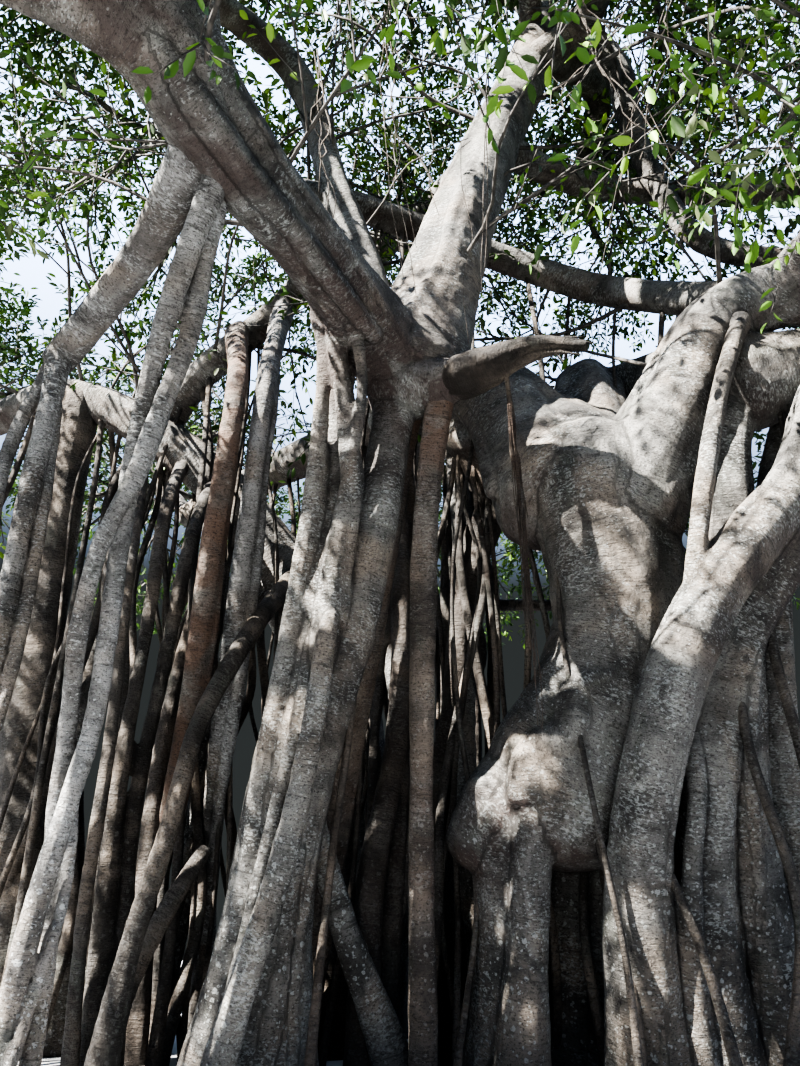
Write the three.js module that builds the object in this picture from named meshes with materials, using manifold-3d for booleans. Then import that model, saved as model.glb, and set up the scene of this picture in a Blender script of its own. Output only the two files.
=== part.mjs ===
// A banyan tree at its real size, in millimetres, +Z up. The origin is the middle of the flat cut
// under the main trunk, at ground level. The tree is a leaning main trunk and a second trunk on
// stilt roots, boughs that reach out from them, aerial roots that have grown down from the boughs
// into pillars, and a dome of leafy masses at the ends of the boughs.
import * as THREE from "three";
import { mergeVertices } from "three/addons/utils/BufferGeometryUtils.js";
import Module from "manifold-3d";

const wasm = await Module();
wasm.setup();

// Driving dimensions of the wood
const CLEARANCE = 0.45; // a limb is cut this much clear of the limb that it meets
const RING_STEP = 1500; // length of limb between two rings of its surface
const THICK = 300; // a limb of this radius or more has more sides than a thinner one
const SIDES = { thick: 8, thin: 6 };
const UNDERGROUND = 600; // how far a foot runs on below the ground before it is cut flat
const ROOT_FLARE = 0.5; // widening of a foot at the ground, as a share of its radius
const ROOT_FLARE_HEIGHT = 550; // height at which most of that widening is gone
const COLLAR = 0.3; // swelling where a limb leaves what carries it, as a share of its radius
const COLLAR_REACH = 1.6; // how far the swelling reaches, in radii
const PILLAR_SWAY = 320; // how far a propping root strays from the straight line down
const PILLAR_RADIUS = [150, 220];

// Driving dimensions of the crown
const CROWN_CENTRE = [1500, 300];
// Rings of masses round the crown's axis: their number, how far out and how high they are, their
// half sizes, the turn of the first, and how far inward and down of its middle a bough enters
const CROWN = {
  low: { count: 10, reach: 9400, height: 9400, size: [4700, 4700, 3200], turn: -18, entry: [0.5, 0.34] },
  middle: { count: 6, reach: 5200, height: 14100, size: [4500, 4500, 3200], turn: 30, entry: [0.4, 0.42] },
  top: { count: 1, reach: 300, height: 17900, size: [4800, 4800, 2900], turn: 0, entry: [0, 0.6] },
};
const MASS_WANDER = 400; // how far a mass's centre strays from its even place in the ring

// Driving dimensions of a mass of leaves. Each twig ends in a leaf, which stands for a spray.
const MAIN_TWIGS = 6;
const STEM_RADIUS = [165, 80]; // at the bough's tip and at the stem's own end
const MAIN_TWIG_RADIUS = [85, 45];
const SIDE_TWIG_RADIUS = [55, 35];
const STEM_TOP = 0.3; // how far above the mass's centre its stem ends, as a share of its height
const STEM_BARE = 0.35; // share of the stem below its first twig
const TWIG_REACH = 0.58; // share of the mass's size at which its main twigs end
const TWIG_RISE = [-0.6, 0.9]; // lowest and highest of the main twigs' directions
const GOLDEN_ANGLE = 137.5; // degrees from each main twig to the next, round the stem
const SIDE_TWIG_PLACES = [0.4, 0.72]; // where side twigs leave their main twig
const SIDE_TWIG_LENGTH = 1500;
const SIDE_TWIG_SWING = 0.95; // sideways share of a side twig's direction
const LEAF = { length: 2200, width: 1400, thickness: 32, widest: 0.45 };
const LEAF_FAN = 0.75; // how far a leaf may swing out from its twig's direction
const LEAF_TRIES = 60; // directions tried for a leaf before its twig is left out
const LEAF_SPACING = 1250; // least distance between the middles of two leaves
const SPACE_MARGIN = 1.06; // how much nearer to its own mass than to the next a leaf stays
const LIMB_MARGIN = 70; // room between a leaf or twig and a limb

const FINISHES = {
  bark: { color: 0x847b6d, roughness: 0.9, metalness: 0 },
  aerial_root: { color: 0x7a5f4c, roughness: 0.92, metalness: 0 },
  dead_wood: { color: 0x5a463a, roughness: 0.95, metalness: 0 },
  foliage: { color: 0x4c6a2c, roughness: 0.55, metalness: 0 },
};

const vector = (point) => new THREE.Vector3(...point);
const radians = THREE.MathUtils.degToRad;

// Random numbers from 0 to 1 that are the same each run
function randomFrom(seed) {
  let state = seed >>> 0;
  return () => {
    state = (Math.imul(state, 1664525) + 1013904223) >>> 0;
    return state / 4294967296;
  };
}

// The leafy masses' centres, in rings round the crown's axis, and the point where a bough enters
function crownMasses() {
  const random = randomFrom(11);
  const wander = () => (random() * 2 - 1) * MASS_WANDER;
  const masses = {};
  for (const [ring, r] of Object.entries(CROWN)) {
    for (let i = 0; i < r.count; i++) {
      const angle = radians(r.turn + (360 * i) / r.count);
      const outward = new THREE.Vector3(Math.cos(angle), Math.sin(angle), 0);
      const centre = new THREE.Vector3(...CROWN_CENTRE, r.height).addScaledVector(outward, r.reach);
      centre.add(new THREE.Vector3(wander(), wander(), wander()));
      const entry = centre.clone().addScaledVector(outward, -r.entry[0] * r.size[0]);
      entry.z -= r.entry[1] * r.size[2];
      masses[`foliage_${ring}_${i + 1}`] = { centre, entry, size: vector(r.size), seed: 100 + i };
    }
  }
  return masses;
}
const MASSES = crownMasses();
const into = (mass) => MASSES[`foliage_${mass}`].entry.toArray();

// A strand of wood: its radius at the start and end, and the points that its centre line runs
// through. A point at height 0 is a foot on the ground.
const strand = (start, end, ...path) => ({ start, end, path });

// The wood that the crown hangs on. Each entry is one solid of one or more strands grown together,
// and stands after what carries it.
const WOOD = {
  trunk_main: [
    strand(530, 330, [0, 0, 0], [60, -130, 1400], [320, -420, 3100], [560, -950, 5300], [800, -1500, 6950]),
    strand(330, 270, [120, -150, 1300], [560, -380, 3100], [1130, -740, 5400], [1450, -900, 6900]),
    strand(105, 130, [760, -960, 3900], [560, -880, 2500], [140, -760, 1000], [-60, -700, 0]),
  ],
  trunk_right: [
    strand(900, 760, [3050, 250, 2150], [3450, -60, 3200], [3700, -400, 4800], [3480, -520, 5900]),
    strand(560, 330, [3100, 100, 2900], [2500, 80, 2450], [2080, 150, 2050]),
    strand(330, 290, [2480, 60, 2500], [2500, 60, 1500], [2430, 250, 0]),
    strand(230, 210, [3250, 560, 2200], [3200, 700, 1200], [3100, 820, 0]),
    strand(240, 230, [3700, 450, 2300], [3600, 560, 1300], [3480, 760, 0]),
    strand(260, 260, [2600, 700, 2500], [2500, 1150, 1300], [2400, 1500, 0]),
  ],
  trunk_back: [
    strand(620, 520, [1000, 4600, 0], [800, 4200, 2000], [500, 3200, 4300], [-60, 2000, 5500]),
    strand(300, 260, [1900, 4300, 0], [1500, 4000, 2200], [500, 3300, 4500]),
  ],
  bough_left: [
    strand(470, 260, [1480, -900, 6850], [830, -1840, 7280], [230, -2780, 7450],
      [-560, -4200, 7900], into("low_8")),
  ],
  bough_up: [
    strand(520, 230, [1550, -880, 6900], [2690, -500, 10900], [3560, -150, 13700],
      [3500, 50, 15200], into("top_1")),
  ],
  dead_stub: [
    strand(240, 60, [1500, -950, 6750], [1960, -1300, 6700], [2490, -1560, 6640], [3380, -1940, 6510]),
  ],
  bough_right: [
    strand(520, 230, [3900, -500, 5400], [4400, -760, 6300], [5240, -1040, 7600],
      [7000, -1300, 8000], into("low_1")),
  ],
  bough_right_hub: [
    strand(430, 230, [5300, -900, 6750], [6300, -1000, 6950], [7800, -200, 7700], into("low_2")),
  ],
  bough_back: [strand(520, 230, [3800, -200, 5600], [3960, 700, 7700], [5000, 3600, 8700], into("low_3"))],
  bough_back_left: [
    strand(600, 230, [3250, -300, 5700], [2510, 490, 7600], [300, 3700, 8700], into("low_5")),
  ],
  bough_far_left: [
    strand(400, 230, [-60, 2000, 5400], [-1160, 1620, 6880], [-3380, 1690, 8300], into("low_6")),
  ],
  bough_back_middle: [strand(300, 210, [1300, 2200, 8350], [1700, 4200, 9100], into("low_4"))],
  bough_left_side: [strand(330, 210, [-300, -3700, 7700], [-2600, -3900, 8500], into("low_7"))],
  bough_front: [strand(300, 210, [-250, -3600, 7700], [-150, -4700, 8800], into("low_9"))],
  bough_front_right: [strand(300, 210, [5800, -1120, 7750], [6300, -2800, 8300], into("low_10"))],
  bough_up_low: [
    strand(200, 150, [2720, -490, 11000], [4300, 400, 11180], [6950, -240, 10400], [8300, -900, 10000]),
  ],
  bough_up_right: [strand(260, 200, [3500, -180, 13500], [4840, 1120, 14000], into("middle_1"))],
  bough_up_back: [strand(260, 200, [2800, -450, 11300], [2600, 900, 12200], into("middle_2"))],
  bough_up_left: [
    strand(230, 200, [1330, -750, 7100], [1080, -340, 8700], [570, -270, 10400],
      [-220, -320, 12900], into("middle_4")),
  ],
  bough_up_front: [strand(240, 200, [3000, -380, 11900], [2900, -1500, 12900], into("middle_5"))],
  bough_up_side: [strand(240, 200, [3250, -280, 12700], [4100, -700, 13200], into("middle_6"))],
  bridge_right: [
    strand(230, 170, [5500, -1000, 7800], [4250, 450, 9260], [3120, 620, 9900], [640, 0, 10450],
      into("middle_3")),
  ],
  bridge_left: [
    strand(250, 170, [-2170, 1650, 7600], [-1390, 1250, 8450], [-50, 750, 9500], [620, -250, 10350]),
  ],
  bough_left_low: [strand(260, 210, [-380, -3300, 7500], [-1110, -2250, 7440], [-2210, -1320, 6850])],
  roots_right: [
    strand(250, 300, [6100, -1100, 6900], [5450, -1350, 5430], [4360, -1330, 4100], [3800, -1060, 2900],
      [3580, -560, 1500], [3650, -150, 0]),
    strand(230, 270, [5450, -1200, 4900], [4760, -830, 3770], [4330, -640, 2500], [4230, -400, 1500],
      [4250, -150, 0]),
    strand(210, 270, [5700, -960, 6800], [5150, -900, 6400], [4870, -850, 5000], [4740, -800, 3600],
      [4700, -480, 2400], [4850, -100, 0]),
    strand(170, 210, [6000, -800, 6800], [5560, -620, 5700], [5200, -640, 3900], [5200, -260, 2400],
      [5450, 100, 0]),
    strand(95, 95, [5180, -1330, 7300], [4800, -1420, 6400], [4440, -1480, 5300], [4150, -1330, 4000]),
  ],
};

// Aerial roots that have reached the ground in front and between the trunks
const PILLARS = {
  pillar_left: [
    strand(230, 215, [-180, -3150, 7400], [-600, -2560, 5900], [-1010, -2160, 4300], [-1250, -1620, 2300],
      [-1370, -1560, 0]),
    strand(120, 160, [-420, -2900, 6900], [-620, -2500, 5300], [-820, -2130, 4400], [-1150, -1750, 2700],
      [-1300, -1650, 1200]),
  ],
  pillar_far_left: [
    strand(200, 190, [-2210, -1320, 6850], [-2260, -1150, 5700], [-2400, -870, 3600], [-2900, -300, 0]),
    strand(70, 90, [-2330, -1250, 6700], [-2650, -1100, 5800], [-2700, -850, 3600], [-3000, -250, 900]),
  ],
  pillar_brown: [
    strand(150, 190, [-900, 1000, 8900], [-480, -400, 6900], [-660, -50, 4980], [-1000, 850, 2700],
      [-1650, 1900, 0]),
  ],
  pillar_grey: [
    strand(150, 190, [-260, 900, 9300], [-150, -250, 6950], [-380, 400, 4700], [-620, 1000, 2900],
      [-900, 2300, 0]),
  ],
  pillar_centre: [
    strand(150, 175, [1920, -1250, 6700], [1770, -850, 5500], [1700, -410, 3300], [1680, 0, 0]),
  ],
  root_diagonal: [
    strand(145, 160, [1560, -850, 6650], [1290, -330, 4870], [920, 260, 3050], [480, 1400, 0]),
  ],
  root_pole: [strand(130, 150, [450, -100, 2600], [920, 190, 1240], [1400, 350, 0])],
};

// Boughs further back that stand on propping roots, and how far along each bough the root leaves
const PROPPED = {
  bough_far_left: [0.3, 0.5, 0.7],
  bough_back_left: [0.3, 0.45, 0.68],
  bough_back: [0.45, 0.72],
  bough_right_hub: [0.6],
  bough_left_side: [0.6],
};

const SLOTS = {
  pillar_brown: "aerial_root",
  root_diagonal: "aerial_root",
  pillar_centre: "aerial_root",
  dead_stub: "dead_wood",
};

// Triangles of a surface through rings of points, closed by a flat fan at each end, or by a tip
function closedSkin(rings, tip) {
  const sides = rings[0].length;
  const points = rings.flat();
  const faces = [];
  for (let r = 0; r + 1 < rings.length; r++) {
    for (let k = 0; k < sides; k++) {
      const a = r * sides + k;
      const b = r * sides + ((k + 1) % sides);
      faces.push(a, b, b + sides, a, b + sides, a + sides);
    }
  }
  const last = points.length - sides;
  for (let k = 1; k + 1 < sides; k++) {
    faces.push(0, k + 1, k);
    if (!tip) faces.push(last, last + k, last + k + 1);
  }
  if (tip) {
    const tipIndex = points.push(tip) - 1;
    for (let k = 0; k < sides; k++) {
      faces.push(last + k, last + ((k + 1) % sides), tipIndex);
    }
  }
  return { points, faces };
}

function geometryFrom({ points, faces }) {
  const geometry = new THREE.BufferGeometry();
  geometry.setAttribute("position", new THREE.Float32BufferAttribute(points.flatMap((p) => p.toArray()), 3));
  geometry.setIndex(faces);
  return geometry;
}

function solidFrom(geometry) {
  const bare = geometry.clone();
  bare.deleteAttribute("normal");
  bare.deleteAttribute("uv");
  const merged = mergeVertices(bare);
  const mesh = new wasm.Mesh({
    numProp: 3,
    vertProperties: merged.attributes.position.array,
    triVerts: new Uint32Array(merged.index.array),
  });
  return new wasm.Manifold(mesh);
}

function largestBody(solid) {
  const bodies = solid.decompose();
  return bodies.reduce((best, body) => (body.volume() > best.volume() ? body : best));
}

// The curve that a strand follows, run on below the ground where it stands on its foot
function centreLine(s) {
  const points = s.path.map(vector);
  const below = (p) => new THREE.Vector3(p.x, p.y, -UNDERGROUND);
  if (points[0].z === 0) points.unshift(below(points[0]));
  if (points.at(-1).z === 0) points.push(below(points.at(-1)));
  return new THREE.CatmullRomCurve3(points, false, "centripetal");
}

const hasFoot = (s) => s.path[0][2] === 0 || s.path.at(-1)[2] === 0;

// Radius of a strand at a share t of its length, with its collar and its flare at the ground
function radiusAt(s, t, point, length) {
  const plain = THREE.MathUtils.lerp(s.start, s.end, t);
  const startsOnLimb = s.path[0][2] > 0;
  const collar = startsOnLimb ? COLLAR * Math.exp((-t * length) / (COLLAR_REACH * s.start)) : 0;
  const flare = hasFoot(s) ? ROOT_FLARE * Math.exp(-Math.max(point.z, 0) / ROOT_FLARE_HEIGHT) : 0;
  return plain * (1 + collar + flare);
}

function strandSolid(s, extra) {
  const curve = centreLine(s);
  const length = curve.getLength();
  const steps = Math.max(s.path.length, Math.ceil(length / RING_STEP));
  const frames = curve.computeFrenetFrames(steps, false);
  const sides = Math.max(s.start, s.end) >= THICK ? SIDES.thick : SIDES.thin;
  const rings = [];
  for (let i = 0; i <= steps; i++) {
    const t = i / steps;
    const middle = curve.getPointAt(t);
    const radius = radiusAt(s, t, middle, length) + extra;
    if (i === 0) middle.addScaledVector(frames.tangents[0], -extra);
    if (i === steps) middle.addScaledVector(frames.tangents[steps], extra);
    const ring = [];
    for (let k = 0; k < sides; k++) {
      const angle = (2 * Math.PI * k) / sides;
      const point = middle.clone();
      point.addScaledVector(frames.normals[i], radius * Math.cos(angle));
      point.addScaledVector(frames.binormals[i], radius * Math.sin(angle));
      ring.push(point);
    }
    rings.push(ring);
  }
  return solidFrom(geometryFrom(closedSkin(rings)));
}

const EARTH_SIZE = 60000;
const earthBox = new THREE.BoxGeometry(EARTH_SIZE, EARTH_SIZE, EARTH_SIZE);
earthBox.translate(0, 0, -EARTH_SIZE / 2);
const earth = solidFrom(earthBox);

// The strands of a limb joined, thicker all round by extra, and cut flat at the ground
function limbSolid(strands, extra = 0) {
  const joined = strands.map((s) => strandSolid(s, extra)).reduce((a, b) => a.add(b));
  return joined.subtract(earth);
}

function boxesMeet(a, b) {
  const p = a.boundingBox();
  const q = b.boundingBox();
  return [0, 1, 2].every((k) => p.min[k] <= q.max[k] && q.min[k] <= p.max[k]);
}

const limbs = {}; // name to the limb's solid, its cutter and its strands

function addLimb(name, strands) {
  let solid = limbSolid(strands);
  for (const other of Object.values(limbs)) {
    if (boxesMeet(solid, other.cutter)) solid = solid.subtract(other.cutter);
  }
  limbs[name] = { solid: largestBody(solid), cutter: limbSolid(strands, CLEARANCE), strands };
}

for (const [name, strands] of Object.entries(WOOD)) {
  addLimb(name, strands);
}
for (const [name, strands] of Object.entries(PILLARS)) {
  addLimb(name, strands);
}

// Propping roots drop from their bough to the ground below it, each with a sway of its own
const sway = randomFrom(5);
for (const [bough, places] of Object.entries(PROPPED)) {
  const curve = centreLine(WOOD[bough][0]);
  places.forEach((place, i) => {
    const top = curve.getPointAt(place);
    const stray = () => (sway() * 2 - 1) * PILLAR_SWAY;
    const radius = THREE.MathUtils.lerp(...PILLAR_RADIUS, sway());
    const at = (height) => [top.x + stray(), top.y + stray(), height];
    const path = [top.toArray(), at(top.z * 0.7), at(top.z * 0.35), at(0)];
    addLimb(`prop_${bough.replace("bough_", "")}_${i + 1}`, [strand(radius * 0.8, radius, ...path)]);
  });
}

// Points along every limb with the radius there, to keep leaves and twigs off the wood
const woodSamples = Object.values(limbs).flatMap(({ strands }) =>
  strands.flatMap((s) => {
    const curve = centreLine(s);
    const length = curve.getLength();
    const count = Math.ceil(length / 250);
    return Array.from({ length: count + 1 }, (_, i) => {
      const point = curve.getPointAt(i / count);
      return { point, radius: radiusAt(s, i / count, point, length) };
    });
  }),
);

const clearOfWood = (point) =>
  woodSamples.every((w) => w.point.distanceTo(point) > w.radius + LIMB_MARGIN);

// Distance of a point from a mass's centre, as a share of the mass's size
const shareOf = (mass, point) => point.clone().sub(mass.centre).divide(mass.size).length();

function ownedBy(mass, point) {
  const own = shareOf(mass, point);
  if (own > 1) return false;
  const others = Object.values(MASSES).filter((other) => other !== mass);
  return others.every((other) => shareOf(other, point) > own * SPACE_MARGIN);
}

const between = (a, b, t) => a.clone().lerp(b, t);

// A triangle round a point, with one corner towards up, square to the direction along
function triangleRound(middle, along, up, radius) {
  const first = up.clone().addScaledVector(along, -up.dot(along)).normalize();
  const second = along.clone().cross(first);
  return [0, 1, 2].map((k) => {
    const angle = (2 * Math.PI * k) / 3;
    const point = middle.clone().addScaledVector(first, radius * Math.cos(angle));
    return point.addScaledVector(second, radius * Math.sin(angle));
  });
}

// A leaf that goes on from a twig's end: its ridge and two edges where it is widest, and its tip
function leafFrom(end, direction, lean) {
  const across = direction.clone().cross(lean).normalize();
  const up = across.clone().cross(direction).normalize();
  const middle = end.clone().addScaledVector(direction, LEAF.length * LEAF.widest);
  const widest = [
    middle.clone().addScaledVector(up, LEAF.thickness),
    middle.clone().addScaledVector(across, LEAF.width / 2),
    middle.clone().addScaledVector(across, -LEAF.width / 2),
  ];
  return { up, middle, widest, tip: end.clone().addScaledVector(direction, LEAF.length) };
}

function stemSolid(root, end) {
  const along = end.clone().sub(root).normalize();
  const ring = (middle, radius) => triangleRound(middle, along, new THREE.Vector3(0.31, 0.17, 0.05), radius);
  return solidFrom(geometryFrom(closedSkin([ring(root, STEM_RADIUS[0]), ring(end, STEM_RADIUS[1])])));
}

function leafyTwigSolid(root, end, radii, leaf) {
  const along = end.clone().sub(root).normalize();
  const rings = [
    triangleRound(root, along, leaf.up, radii[0]),
    triangleRound(end, along, leaf.up, radii[1]),
    leaf.widest,
  ];
  return solidFrom(geometryFrom(closedSkin(rings, leaf.tip)));
}

const free = (mass, points) => points.every((p) => ownedBy(mass, p) && clearOfWood(p));

// The twig's end, drawn back towards its root until it lies free, or null where it never does
function freeEnd(mass, root, end) {
  for (const t of [1, 0.85, 0.7, 0.55]) {
    const trial = between(root, end, t);
    if (free(mass, [trial, between(root, trial, 0.6), between(root, trial, 0.3)])) return trial;
  }
  return null;
}

// A twig and its leaf, in the first direction tried in which the leaf lies free and uncrowded.
// Returns the twig's end, or null where nothing grew.
function growTwig(growth, root, wanted, radii) {
  const { mass, random, leafMiddles } = growth;
  const end = freeEnd(mass, root, wanted);
  if (!end) return null;
  const along = end.clone().sub(root).normalize();
  const stray = () => (random() * 2 - 1) * LEAF_FAN;
  for (let attempt = 0; attempt < LEAF_TRIES; attempt++) {
    const direction = along.clone().add(new THREE.Vector3(stray(), stray(), stray())).normalize();
    const leaf = leafFrom(end, direction, new THREE.Vector3(stray() * 0.5, stray() * 0.5, 1));
    const crowded = leafMiddles.some((other) => other.distanceTo(leaf.middle) < LEAF_SPACING);
    if (crowded || !free(mass, [...leaf.widest, leaf.tip])) continue;
    leafMiddles.push(leaf.middle);
    growth.pieces.push(leafyTwigSolid(root, end, radii, leaf));
    return end;
  }
  return null;
}

// One mass: a stem that goes on from its bough's tip, main twigs that leave it all round, and
// side twigs on them
function massSolid(mass) {
  const random = randomFrom(mass.seed);
  const growth = { mass, random, leafMiddles: [], pieces: [] };
  const stemEnd = mass.centre.clone();
  stemEnd.z += STEM_TOP * mass.size.z;
  growth.pieces.push(stemSolid(between(mass.entry, stemEnd, -0.04), stemEnd));
  const turn = random() * 360;
  for (let k = 0; k < MAIN_TWIGS; k++) {
    const share = k / (MAIN_TWIGS - 1);
    const root = between(mass.entry, stemEnd, THREE.MathUtils.lerp(STEM_BARE, 0.95, share));
    const rise = THREE.MathUtils.lerp(...TWIG_RISE, share);
    const flat = Math.sqrt(1 - rise * rise);
    const angle = radians(turn + GOLDEN_ANGLE * k);
    const out = new THREE.Vector3(Math.cos(angle) * flat, Math.sin(angle) * flat, rise);
    const wanted = mass.centre.clone().add(out.multiply(mass.size).multiplyScalar(TWIG_REACH));
    const end = growTwig(growth, root, wanted, MAIN_TWIG_RADIUS);
    if (!end) continue;
    const along = end.clone().sub(root).normalize();
    SIDE_TWIG_PLACES.forEach((place, i) => {
      const swing = (i % 2 ? -1 : 1) * SIDE_TWIG_SWING;
      const sideways = new THREE.Vector3(-along.y, along.x, random() - 0.4).normalize();
      const direction = along.clone().addScaledVector(sideways, swing).normalize();
      const fork = between(root, end, place);
      growTwig(growth, fork, fork.clone().addScaledVector(direction, SIDE_TWIG_LENGTH), SIDE_TWIG_RADIUS);
    });
  }
  let solid = wasm.Manifold.union(growth.pieces);
  for (const limb of Object.values(limbs)) {
    if (boxesMeet(solid, limb.cutter)) solid = solid.subtract(limb.cutter);
  }
  return largestBody(solid);
}

function meshFrom(name, solid, finish) {
  const { vertProperties, triVerts } = solid.getMesh();
  const geometry = new THREE.BufferGeometry();
  geometry.setAttribute("position", new THREE.BufferAttribute(vertProperties, 3));
  geometry.setIndex(new THREE.BufferAttribute(triVerts, 1));
  const mesh = new THREE.Mesh(geometry, new THREE.MeshStandardMaterial(finish));
  mesh.name = name;
  return mesh;
}

const banyan = new THREE.Group();
banyan.name = "banyan_tree";
for (const [name, { solid }] of Object.entries(limbs)) {
  banyan.add(meshFrom(name, solid, FINISHES[SLOTS[name] ?? "bark"]));
}
for (const [name, mass] of Object.entries(MASSES)) {
  banyan.add(meshFrom(name, massSolid(mass), FINISHES.foliage));
}

export default banyan;
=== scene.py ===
# A banyan tree: fused trunks, boughs and aerial roots with the bark's relief, and a crown of
# twigs and leaves that grow on from the boughs. Metres, +Z up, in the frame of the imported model.
import math
import random

import bpy
import numpy as np
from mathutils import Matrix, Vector
from mathutils.bvhtree import BVHTree


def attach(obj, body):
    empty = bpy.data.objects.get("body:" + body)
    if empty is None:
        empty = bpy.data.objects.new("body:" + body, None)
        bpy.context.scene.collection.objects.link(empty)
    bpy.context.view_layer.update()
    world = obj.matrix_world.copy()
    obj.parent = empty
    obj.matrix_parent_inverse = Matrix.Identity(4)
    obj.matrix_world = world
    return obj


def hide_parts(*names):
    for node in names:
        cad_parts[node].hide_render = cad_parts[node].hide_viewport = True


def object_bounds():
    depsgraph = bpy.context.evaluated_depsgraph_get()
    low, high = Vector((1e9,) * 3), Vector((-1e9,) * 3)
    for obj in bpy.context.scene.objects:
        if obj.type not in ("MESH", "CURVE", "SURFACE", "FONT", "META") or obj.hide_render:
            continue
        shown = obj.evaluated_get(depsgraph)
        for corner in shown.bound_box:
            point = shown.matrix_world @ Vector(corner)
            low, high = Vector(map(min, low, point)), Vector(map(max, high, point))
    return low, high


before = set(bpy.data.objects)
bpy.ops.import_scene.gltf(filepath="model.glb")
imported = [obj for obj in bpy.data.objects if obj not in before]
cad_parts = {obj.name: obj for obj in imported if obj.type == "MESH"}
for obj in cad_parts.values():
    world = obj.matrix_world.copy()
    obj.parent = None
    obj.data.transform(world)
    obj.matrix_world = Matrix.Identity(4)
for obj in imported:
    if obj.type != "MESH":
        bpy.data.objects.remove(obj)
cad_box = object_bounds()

# Driving dimensions of the wood, in metres
RING_STEP = 0.12
SIDES = 20
CURVE_STEPS = 24  # points of a centre line between two points of its path
UNDERGROUND = 0.6
ROOT_FLARE = 0.5
ROOT_FLARE_HEIGHT = 0.55
COLLAR = 0.3
COLLAR_REACH = 1.6
PILLAR_SWAY = 0.32
PILLAR_RADIUS = (0.15, 0.22)
PROP_STEP = 0.02  # steps along a curve where points are picked on it
PROP_SEED = 5
PROP_BENDS = (0.7, 0.35, 0)  # shares of the height that it drops from
PROP_TOP = 0.8  # radius at the bough, as a share of the foot's
BOUGH_STEP = 0.05
FINE_STEP = 0.1
SAMPLE_STEP = 0.25
LOBES = 0.05  # how far a limb's outline swells and sinks, as a share of its radius
END_ROUNDS = (25, 50, 70, 85)  # degrees at which the rings of a rounded end stand
END_LENGTH = 0.55  # length of a rounded end, as a share of the radius

# The bark's relief is a sum of noises over the place across, across and along the limb: the scale,
# the seed and the depth of each, in metres
FLUTES = ((5.0, 5.0, 0.55), 3, 0.032)
SWELLINGS = ((1.6, 1.6, 0.8), 4, 0.03)
WRINKLES = ((3.0, 3.0, 11.0), 5, 0.008)
LUMPS = ((6.5, 6.5, 6.5), 6, 0.006)
GRAIN = ((22.0, 22.0, 30.0), 7, 0.0022)
FULL_RELIEF_RADIUS = 0.5  # limbs of this radius have the relief in full, thinner ones less
RELIEF_SHARES = (0.15, 1.2)
BROAD_ROUNDS = 8  # rounds of evening of the flutes and swellings, and of the wrinkles
WRINKLE_ROUNDS = 2
SOFTENING = (0.5, 5)  # factor and rounds of the smoothing after the strands have fused

# Driving dimensions of the crown, the same as the solids'
CROWN_CENTRE = (1.5, 0.3)
CROWN = {
    "low": dict(count=10, reach=9.4, height=9.4, size=(4.7, 4.7, 3.2), turn=-18, entry=(0.5, 0.34)),
    "middle": dict(
        count=6, reach=5.2, height=14.1, size=(4.5, 4.5, 3.2), turn=30, entry=(0.4, 0.42)),
    "top": dict(count=1, reach=0.3, height=17.9, size=(4.8, 4.8, 2.9), turn=0, entry=(0, 0.6)),
}
MASS_WANDER = 0.4
MAIN_TWIGS = 6
STEM_TOP = 0.3
STEM_BARE = 0.35
TWIG_REACH = 0.58
TWIG_RISE = (-0.6, 0.9)
GOLDEN_ANGLE = 137.5
CROWN_LIMIT = 0.97  # share of a mass's size beyond which no twig goes

# Camera: the photograph's frame is 800 by 1066 pixels
FOCAL_PIXELS = 800
FRAME_HEIGHT = 1066
SENSOR = 36
CAMERA_PLACE = (1.45, -8.4, 1.6)
CAMERA_PITCH = 24
CAMERA_REACH = 500
VIEW_LOOK = "AgX - High Contrast"


def lcg(seed):
    """Random numbers from 0 to 1 by the same rule as the solids'."""
    state = seed

    def draw():
        nonlocal state
        state = (state * 1664525 + 1013904223) % 4294967296
        return state / 4294967296

    return draw


def lerp(a, b, t):
    return a + (b - a) * t


def unit(v):
    return v / np.maximum(np.linalg.norm(v, axis=-1, keepdims=True), 1e-9)


def strand(start, end, *path, young=0.0, plain=False):
    """Wood with a radius at its start and end, through a few points. At height 0 it has a foot, and
    where it starts above the ground it has a collar, unless it is plain."""
    path = [np.array(p, float) for p in path]
    return dict(start=start, end=end, path=path, young=young, plain=plain)


def shaped(*points, young=0.0):
    """Wood through points that each say x, y, z and the radius there."""
    path = [np.array(p[:3], float) for p in points]
    return dict(path=path, radii=[p[3] for p in points], young=young)


def crown_masses():
    draw = lcg(11)
    masses = {}
    for ring, r in CROWN.items():
        for i in range(r["count"]):
            angle = math.radians(r["turn"] + 360 * i / r["count"])
            outward = np.array([math.cos(angle), math.sin(angle), 0])
            centre = np.array([*CROWN_CENTRE, r["height"]]) + outward * r["reach"]
            centre = centre + np.array([(draw() * 2 - 1) * MASS_WANDER for _ in range(3)])
            size = np.array(r["size"])
            entry = centre - outward * r["entry"][0] * size[0]
            entry[2] -= r["entry"][1] * size[2]
            masses[f"{ring}_{i + 1}"] = dict(centre=centre, entry=entry, size=size, seed=100 + i)
    return masses


MASSES = crown_masses()


def into(mass):
    return tuple(MASSES[mass]["entry"])


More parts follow.
